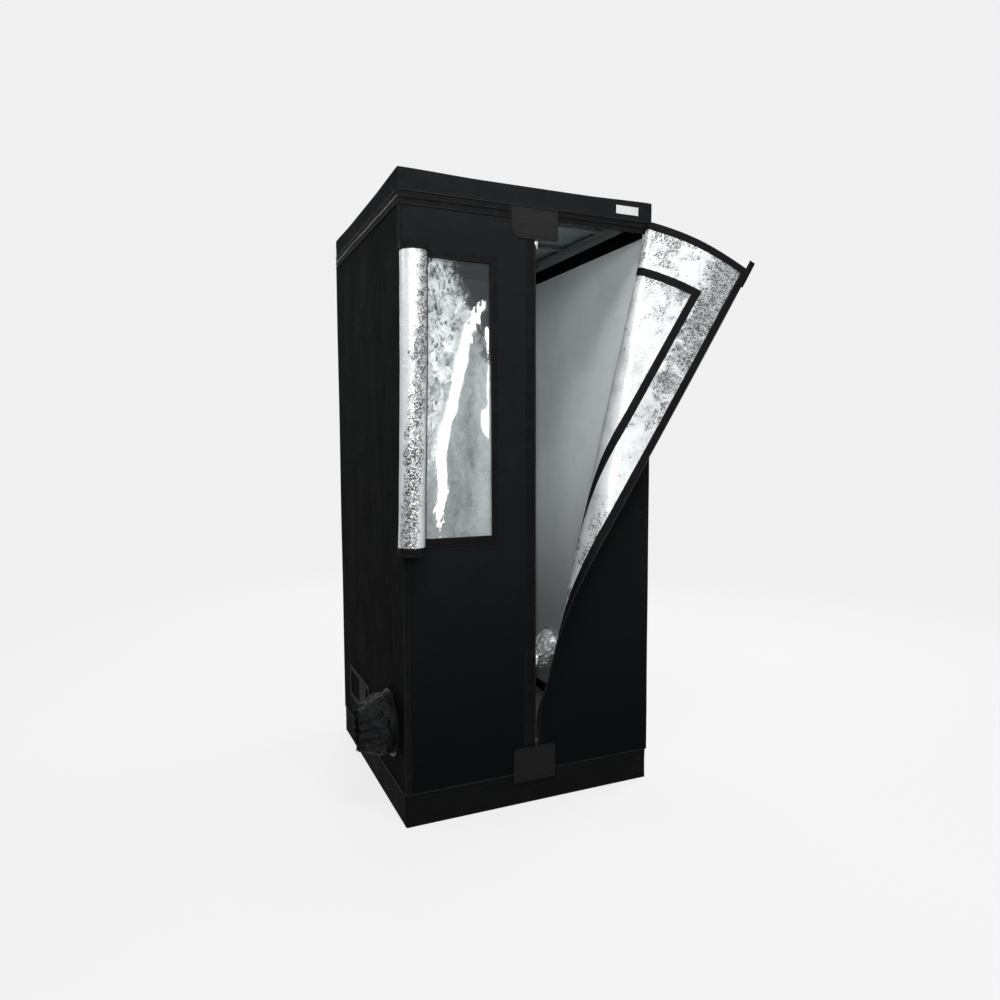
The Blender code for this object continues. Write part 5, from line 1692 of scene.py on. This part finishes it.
def rightRumple(x, up):
    # slack waves of the hanging corner, none in the part that stays in the tent's front
    flat = Vector((x, 0, up)) - foldFoot
    free = smoothStep(flat.dot(acrossFold) / 0.05)
    edge = smoothStep(min(tent["leafSide"] - x, x - fold["freeEdge"] + 0.02) / 0.04)
    rise = smoothStep((up - fold["foot"][1]) / 0.08)
    big = wobble(x * 4.5 + up * 1.5, up * 3.0, 2.0)
    small = wobble(x * 13, up * 9, 5.0)
    return rightLeaf["rumple"] * free * edge * rise * (big + 0.45 * small)


def rightPlace(x, up, lift):
    return Vector((x, fold["middleY"] + rightRumple(x, up) - lift, up))


def rightInside(x, up, lift):
    return rightPlace(x, up, -lift)


def makeRightLeaf():
    across = meshLines((fold["freeEdge"], window["near"], window["far"], tent["leafSide"]),
                       rightLeaf["across"])
    upward = meshLines((tent["leafBottom"], window["bottom"], window["top"], tent["leafTop"]),
                       rightLeaf["upward"])

    def leafPoint(share, rise):
        x, up = atShare(across, share), atShare(upward, rise)
        return rightPlace(x, up, tent["cloth"] / 2), (x, up)

    leaf = laidGrid("rightLeaf", len(across) - 1, len(upward) - 1, leafPoint)
    # two pairs of outer and inner side: the leaf's, and that of the closed cover of its window
    paint(leaf, "leafCloth", "leafFoil", "leafCloth", "coverFoil")
    for face in leaf.data.polygons:
        spot = face.center
        if window["near"] < spot.x < window["far"] and window["bottom"] < spot.z < window["top"]:
            face.material_index = 2
    thicken(leaf, tent["cloth"], innerSlot=1)
    foldOver(leaf)
    smoothShade(leaf, 60)
    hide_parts("door_right_lower", "door_right_roll", "door_right_flap", "window_right_cover")


def foldTrim(piece, inside, *nodes):
    # tape or webbing on the leaf; what lies on the silver side was laid from outside, so it is turned round
    if inside:
        faceOutwards(piece)
    foldOver(piece)
    if nodes:
        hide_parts(*nodes)


def makeRightTrim():
    free, top, side = fold["freeEdge"], tent["leafTop"], tent["leafSide"]
    step, lift = rightLeaf["edgeStep"], rightLeaf["tapeLift"]
    low = (free - step, fold["foot"][1] - rightLeaf["edgeFoot"])
    high = (free + rightLeaf["edgeTape"], top)
    edge = strip("rightEdgeTape", low, high, rightInside, "edgeTape", 6, 170, lift=lift)
    foldTrim(edge, True, "door_right_binding")
    low, high = (free, top - rightLeaf["topTape"]), (side, top - rightLeaf["topGap"])
    topTape = strip("rightTopTape", low, high, rightInside, "edgeTape", 90, 10, lift=lift, alongUp=False)
    foldTrim(topTape, True)
    low = (free - step, tent["bandTop"] + rightLeaf["outerFoot"])
    high = (free + rightLeaf["outerTape"], top - step)
    cover = strip("rightEdgeCover", low, high, rightPlace, "edgeTape", 5, 190, lift=lift)
    foldTrim(cover, False)
    low, high = (window["near"], window["bottom"]), (window["far"], window["top"])
    steps, lift = rightLeaf["webbingSteps"], rightLeaf["webbingLift"]
    inner = ringStrip("rightWindowWebbingInside", low, high, window["webbing"], rightInside, steps, lift)
    foldTrim(inner, True, "window_right_frame_flap")
    outer = ringStrip("rightWindowWebbing", low, high, window["webbing"], rightPlace, steps, lift)
    foldTrim(outer, False, "window_right_frame")


# Zip ends: what the unzipped leaf leaves under the cap, and the end that stands out beyond the folded corner
zipEnds = {
    "underLeft": 0.070,
    "underGap": 0.002,
    "underLow": 1.7285,
    "underHigh": 1.7426,
    "underSink": 0.0008,
    "underWave": 0.0008,
    "underThickness": 0.0009,
    "tailLow": (-0.006, -0.060),     # from the leaf's free upper corner
    "tailHigh": (0.014, 0.030),
    "tailThickness": 0.0012,
    "tailLift": 0.0024,
}


def makeZipEnds():
    def underPlace(x, up, lift):
        return frontPlace(x, up, lift - zipEnds["underSink"] + zipEnds["underWave"] * wobble(x * 14, up * 9))

    low = (zipEnds["underLeft"], zipEnds["underLow"])
    high = (tent["leafSide"] - zipEnds["underGap"], zipEnds["underHigh"])
    under = strip("capZipHalf", low, high, underPlace, "edgeTape", 90, 4, zipEnds["underThickness"],
                  alongUp=False)
    settle(under, "webbing")
    corner = (fold["freeEdge"], tent["leafTop"])
    low, high = ([place + off for place, off in zip(corner, zipEnds[end])] for end in ("tailLow", "tailHigh"))
    tail = strip("rightZipTail", low, high, rightInside, "edgeTape", 4, 16, zipEnds["tailThickness"],
                 zipEnds["tailLift"])
    foldTrim(tail, True)


makeRightLeaf()
makeRightTrim()
makeZipEnds()
print("right leaf made")


# Zips: teeth down both leaves
zipper = {
    "x": 0.0050,
    "pitch": 0.0030,
    "tooth": (0.0021, 0.0014, 0.0016),
    "bevel": 0.0003,
    "leftLow": 0.0965,
    "leftHigh": 1.7360,
    "rightX": 0.0062,
    "rightLow": 0.200,
    "rightHigh": 1.7400,
}


def toothRow(name, x, low, high):
    bpy.ops.mesh.primitive_cube_add(size=1, location=(x, fold["middleY"], low), scale=zipper["tooth"])
    row = bpy.context.object
    row.name = name
    placeInMesh(row)
    openEdit(row, "EDGE")
    bpy.ops.mesh.bevel(offset=zipper["bevel"], segments=1)
    closeEdit()
    step = row.modifiers.new("row", "ARRAY")
    step.count = int((high - low) / zipper["pitch"])
    step.use_relative_offset = False
    step.use_constant_offset = True
    step.constant_offset_displace = (0, 0, zipper["pitch"])
    applyModifiers(row)
    paint(row, "zipNylon")
    return row


def makeZips():
    left = toothRow("leftZipTeeth", zipper["x"], zipper["leftLow"], zipper["leftHigh"])
    settle(left, "zip_coil", "zip_coil_left")
    right = toothRow("rightZipTeeth", zipper["rightX"], zipper["rightLow"], zipper["rightHigh"])
    foldOver(right)


# Flaps over the ends of the middle zip: cloth with a bound edge and a row of stitches
flaps = {
    "top": {"left": -0.072, "right": 0.076, "low": 1.6545, "high": 1.7424, "y": -0.4010, "curl": 0.0020,
            "roundLeft": 0.022, "roundRight": 0.008, "bendFrom": 1.7416, "bendTo": 1.7270},
    "foot": {"left": -0.071, "right": 0.067, "low": 0.069, "high": 0.1725, "y": -0.4046, "curl": 0.0012,
             "roundLeft": 0.016, "roundRight": 0.010, "bendFrom": 0.0700, "bendTo": 0.0850},
    "columns": 36,
    "rows": 30,
    "thickness": 0.0014,
    "wave": 0.0006,
    "sewnCorner": 0.002,
    "cornerSteps": 10,
    "lift": 0.0002,          # how far the binding stands out, and the thread beyond it
    "threadLift": 0.0006,
    "bindingInset": 0.0012,
    "bindingRadius": 0.0014,
    "threadInset": 0.009,
    "threadRadius": 0.0005,
}


def flapSpan(size, away):
    # how far each side is drawn in at a distance from the rounded end
    spans = []
    for radius in (size["roundLeft"], size["roundRight"]):
        short = max(radius - away, 0.0)
        spans.append(radius - math.sqrt(max(radius * radius - short * short, 0.0)))
    return spans


def flapY(size, away, x):
    # away is the distance from the rounded end
    free = smoothStep(1 - away / (size["high"] - size["low"]))
    return size["y"] - size["curl"] * free - flaps["wave"] * wobble(x * 30, away * 20, size["low"])


def flapAway(size, up, rounded):
    return up - size["low"] if rounded == "low" else size["high"] - up


def flapOutline(size, inset, rounded, lift):
    # rounded is "low" or "high", the end with the round corners
    points = []
    for corner in range(4):
        onLeft, onFoot = corner in (0, 3), corner in (0, 1)
        cornerX = size["left"] + inset if onLeft else size["right"] - inset
        cornerZ = size["low"] + inset if onFoot else size["high"] - inset
        radius = flaps["sewnCorner"]
        if onFoot == (rounded == "low"):
            radius = max(size["roundLeft" if onLeft else "roundRight"] - inset, radius)
        middleX = cornerX + (radius if onLeft else -radius)
        middleZ = cornerZ + (radius if onFoot else -radius)
        for step in range(flaps["cornerSteps"] + 1):
            angle = math.radians(180 + 90 * corner + 90 * step / flaps["cornerSteps"])
            x, up = middleX + radius * math.cos(angle), middleZ + radius * math.sin(angle)
            points.append(Vector((x, flapY(size, flapAway(size, up, rounded), x) - lift, up)))
    return points


def hang(piece):
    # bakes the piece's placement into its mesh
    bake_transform(piece)


def makeFlap(name, size, rounded, node):
    def flapPoint(share, rise):
        up = spread(size["low"], size["high"], rise)
        away = flapAway(size, up, rounded)
        drawLeft, drawRight = flapSpan(size, away)
        x = spread(size["left"] + drawLeft, size["right"] - drawRight, share)
        return Vector((x, flapY(size, away, x), up)), (x, up)

    piece = laidGrid(name, flaps["columns"], flaps["rows"], flapPoint)
    finishSheet(piece, ("flapCloth",), flaps["thickness"], offset=0)
    hang(piece)
    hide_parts(node)
    outline = flapOutline(size, flaps["bindingInset"], rounded, flaps["lift"])
    binding = tubeAlong(name + "Binding", outline, flaps["bindingRadius"], "pipingVinyl", closed=True)
    hang(binding)
    outline = flapOutline(size, flaps["threadInset"], rounded, flaps["lift"] + flaps["threadLift"])
    thread = tubeAlong(name + "Stitches", outline, flaps["threadRadius"], "pipingVinyl", True, 1)
    hang(thread)


makeZips()
makeFlap("topZipFlap", flaps["top"], "low", "zip_flap_top")
makeFlap("footZipFlap", flaps["foot"], "high", "zip_flap_bottom")
print("zips and flaps made")


# Socks: cloth tubes sewn into the round ports and gathered at their mouths
socks = {
    "left": {"mouth": 0.062, "length": 0.099, "drop": 0.006, "drift": -0.003, "tilt": 0.005, "gap": 0.0003,
             "look": "sockCloth"},
    "right": {"mouth": 0.042, "length": 0.085, "drop": 0.030, "drift": 0.010, "tilt": 0.0, "gap": 0.0018,
              "look": "sockFoil"},
    "back": {"mouth": 0.048, "length": 0.108, "drop": 0.024, "drift": 0.0, "tilt": 0.0, "gap": 0.0003,
             "look": "sockCloth"},
    "sides": 128,
    "rings": 44,
    "portLap": 0.0010,
    "thickness": 0.0008,
    "folds": 13,
    "foldDepth": 0.0060,
    "crinkle": 0.0050,
    "flare": 0.004,          # how far the mouth opens again beyond its tie
    "flareFrom": 0.93,
    "ripple": 0.0016,
    "hemShare": 0.07,        # share of the rings that lies flat against the wall round the port
    "hemWidth": 0.012,
    "slack": 1.18,           # length of the flat cloth for each length of the gathered sock
    "cordSteps": 96,
    "cordLift": 0.0012,
    "tieAt": 0.88,
    "tieRadius": 0.0016,
    "seamRadius": 0.0024,
}


def makeSock(name, node, port, size, toWorld, slot):
    radius = port["radius"] + socks["portLap"]
    base = radius - socks["hemWidth"]

    def sockPoint(share, level):
        angle = 2 * math.pi * share
        turnX, turnY = math.cos(angle), math.sin(angle)
        rise = max(level - socks["hemShare"], 0.0) / (1 - socks["hemShare"])
        ease = smoothStep(rise)
        belly = math.sin(math.pi * rise)
        hem = socks["hemWidth"] * (1 - min(level / socks["hemShare"], 1.0))
        wave = angle * socks["folds"] + 2.2 * math.sin(angle * 2) + 1.5 * rise
        reach = base + hem + (size["mouth"] - base) * ease ** 1.5 + socks["foldDepth"] * belly * 0.15
        reach += socks["foldDepth"] * ease * (0.7 * math.cos(wave) + 0.3 * math.cos(wave * 2 + 1.0) - 0.6)
        crinkle = ridge(turnX * 2.4, turnY * 2.4, rise * 3.2) + 0.6 * ridge(turnX * 6, turnY * 6, rise * 7)
        reach += socks["crinkle"] * belly * crinkle
        reach += socks["flare"] * smoothStep((rise - socks["flareFrom"]) / (1 - socks["flareFrom"]))
        deep = size["length"] * rise + size["tilt"] * turnX * ease
        deep += socks["ripple"] * math.cos(wave * 1.5) * rise
        spot = Vector((size["drift"] * ease + reach * turnX, reach * turnY - size["drop"] * ease, deep))
        return toWorld(spot), (angle * radius, level * size["length"])

    sock = laidGrid(name, socks["sides"], socks["rings"], sockPoint)
    weld(sock)
    faceOutwards(sock)
    finishSheet(sock, (size["look"],), socks["thickness"], angle=70)
    settle(sock, slot, node)
    middle = toWorld(Vector((0, 0, 0)))
    cords = (("Tie", socks["tieAt"], socks["tieRadius"]), ("Seam", socks["hemShare"], socks["seamRadius"]))
    for label, level, thick in cords:
        points = []
        for step in range(socks["cordSteps"]):
            share = step / socks["cordSteps"]
            angle = 2 * math.pi * share
            out = toWorld(Vector((math.cos(angle), math.sin(angle), 0))) - middle
            points.append(sockPoint(share, level)[0] + out * socks["cordLift"])
        settle(tubeAlong(name + label, points, thick, "pipingVinyl", closed=True), "piping")


def makeSocks():
    half = tent["half"]
    left, right, back = ports["left"], ports["right"], ports["back"]

    def onLeft(spot):
        return Vector((-half - socks["left"]["gap"] - spot.z, left["along"] - spot.x, left["up"] + spot.y))

    def onRight(spot):
        return Vector((half - socks["right"]["gap"] - spot.z, right["along"] - spot.x, right["up"] + spot.y))

    def onBack(spot):
        return Vector((back["along"] - spot.x, half + socks["back"]["gap"] + spot.z, back["up"] + spot.y))

    makeSock("leftSock", "sock_left", left, socks["left"], onLeft, "outer_fabric")
    makeSock("rightSock", "sock_right", right, socks["right"], onRight, "lining")
    makeSock("backSock", "sock_back", back, socks["back"], onBack, "outer_fabric")


makeSocks()
print("socks made")


# Low vent in the left wall: net behind a webbing frame with an olive strap
vent = {
    "back": 0.280,
    "front": 0.030,
    "bottom": 0.185,
    "top": 0.265,
    "cutDepth": 0.1,
    "mesh": 0.0026,
    "yarn": 0.0010,
    "netLap": 0.008,
    "netBack": 0.0024,
    "netSlack": 0.0012,
    "frame": 0.018,
    "frameSteps": 30,
    "strapFront": 0.058,
    "strapBack": 0.152,
    "strapLap": 0.006,
    "strapThickness": 0.0012,
    "strapLift": 0.0006,
}


def cutVentHole():
    middle = (-tent["half"], (vent["back"] + vent["front"]) / 2, (vent["bottom"] + vent["top"]) / 2)
    size = (vent["cutDepth"], vent["back"] - vent["front"], vent["top"] - vent["bottom"])
    bpy.ops.mesh.primitive_cube_add(size=1, location=middle, scale=size)
    cutter = bpy.context.object
    placeInMesh(cutter)
    cutWith(bpy.data.objects["leftWall"], cutter)
    smoothShade(bpy.data.objects["leftWall"])


def makeVent():
    lap = vent["netLap"]
    columns = int((vent["back"] - vent["front"] + 2 * lap) / vent["mesh"])
    rows = int((vent["top"] - vent["bottom"] + 2 * lap) / vent["mesh"])

    def netPoint(share, rise):
        along = spread(-vent["back"] - lap, -vent["front"] + lap, share)
        up = spread(vent["bottom"] - lap, vent["top"] + lap, rise)
        slack = vent["netSlack"] * wobble(along * 14, up * 14, 4.0)
        return leftPlace(along, up, -vent["netBack"] - max(slack, 0.0)), (along, up)

    net = laidGrid("ventNet", columns, rows, netPoint)
    step = net.modifiers.new("yarn", "WIREFRAME")
    step.thickness = vent["yarn"]
    step.use_even_offset = False
    applyModifiers(net)
    paint(net, "netYarn")
    settle(net, "vent_net", "vent_net")
    low = (-vent["back"] - vent["frame"], vent["bottom"] - vent["frame"])
    high = (-vent["front"] + vent["frame"], vent["top"] + vent["frame"])
    webbing = ringStrip("ventWebbing", low, high, vent["frame"], leftPlace, vent["frameSteps"])
    settle(webbing, "webbing", "vent_frame")
    low = (-vent["strapBack"], vent["bottom"] - vent["strapLap"])
    high = (-vent["strapFront"], vent["top"] + vent["strapLap"])
    strap = strip("ventStrap", low, high, leftPlace, "oliveWebbing", 20, 18, vent["strapThickness"],
                  vent["strapLift"])
    settle(strap, "webbing")


cutVentHole()
makeVent()


# Tray on the floor
tray = {
    "reach": 0.3715,
    "bottom": 0.0024,
    "top": 0.0596,
    "cuts": 27,
    "crowd": 1.4,            # how strongly the mesh lines crowd towards the edges
    "crinkle": 0.0030,
    "rimDip": 0.0012,
    "thickness": 0.0008,
}


def trayPoint(share):
    x, y = (crowded(part, tray["crowd"]) * tray["reach"] for part in share[:2])
    up = spread(tray["bottom"], tray["top"], (share.z + 1) / 2)
    crinkle = 0.5 + 0.5 * ridge(x * 16, y * 16, up * 24)
    if max(abs(share.x), abs(share.y)) < 0.999:
        return x, y, up + tray["crinkle"] * crinkle
    pull = 1 - tray["crinkle"] * crinkle / tray["reach"]
    dip = tray["rimDip"] * crinkle if share.z > 0.999 else 0.0
    return x * pull, y * pull, up - dip


def makeTray():
    piece = openBox("floorTray", tray["cuts"], 1)
    for vertex in piece.data.vertices:
        vertex.co = trayPoint(vertex.co.copy())
    boxUv(piece)
    finishSheet(piece, ("trayFoil",), tray["thickness"], angle=60)
    settle(piece, "tray_film", "floor_tray")


# Black binding inside, under the roof and above the tray
bindings = {
    "heights": {"seamBinding": (1.7112, 1.7568), "lowSeamBinding": (0.0612, 0.0985)},
    "nodes": {"seamBinding": "seam_binding"},
    "reach": 0.3975,
    "corner": 0.004,
    "wave": 0.0008,
    "thickness": 0.0010,
    "columns": 240,
    "rows": 8,
}


def makeBinding(name, low, high):
    whole = planLength(bindings["reach"], bindings["corner"])
    width = high - low

    def bindingPoint(share, rise):
        spot, out = aroundTent(-share * whole, bindings["reach"], bindings["corner"])
        up = spread(low, high, rise)
        wave = bindings["wave"] * wobble(spot.x * 12, spot.y * 12, up * 30)
        return spot + Vector((0, 0, up)) - out * wave, edgeUv(share * whole, rise * width, width)

    piece = laidGrid(name, bindings["columns"], bindings["rows"], bindingPoint)
    weld(piece)
    finishSheet(piece, ("edgeTape",), bindings["thickness"], angle=60)
    settle(piece, "webbing")
    if name in bindings["nodes"]:
        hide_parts(bindings["nodes"][name])


# Blank tag on the cap
tag = {"low": (0.272, 1.7605), "high": (0.350, 1.7850), "thickness": 0.0007, "lift": 0.0010}


def makeTag():
    piece = strip("blankTag", tag["low"], tag["high"], frontPlace, "plainTag", 16, 6, tag["thickness"],
                  tag["lift"], alongUp=False)
    settle(piece, "webbing")


makeTray()
for bindingName, bindingSpan in bindings["heights"].items():
    makeBinding(bindingName, *bindingSpan)
makeTag()
print("inside and tag made")
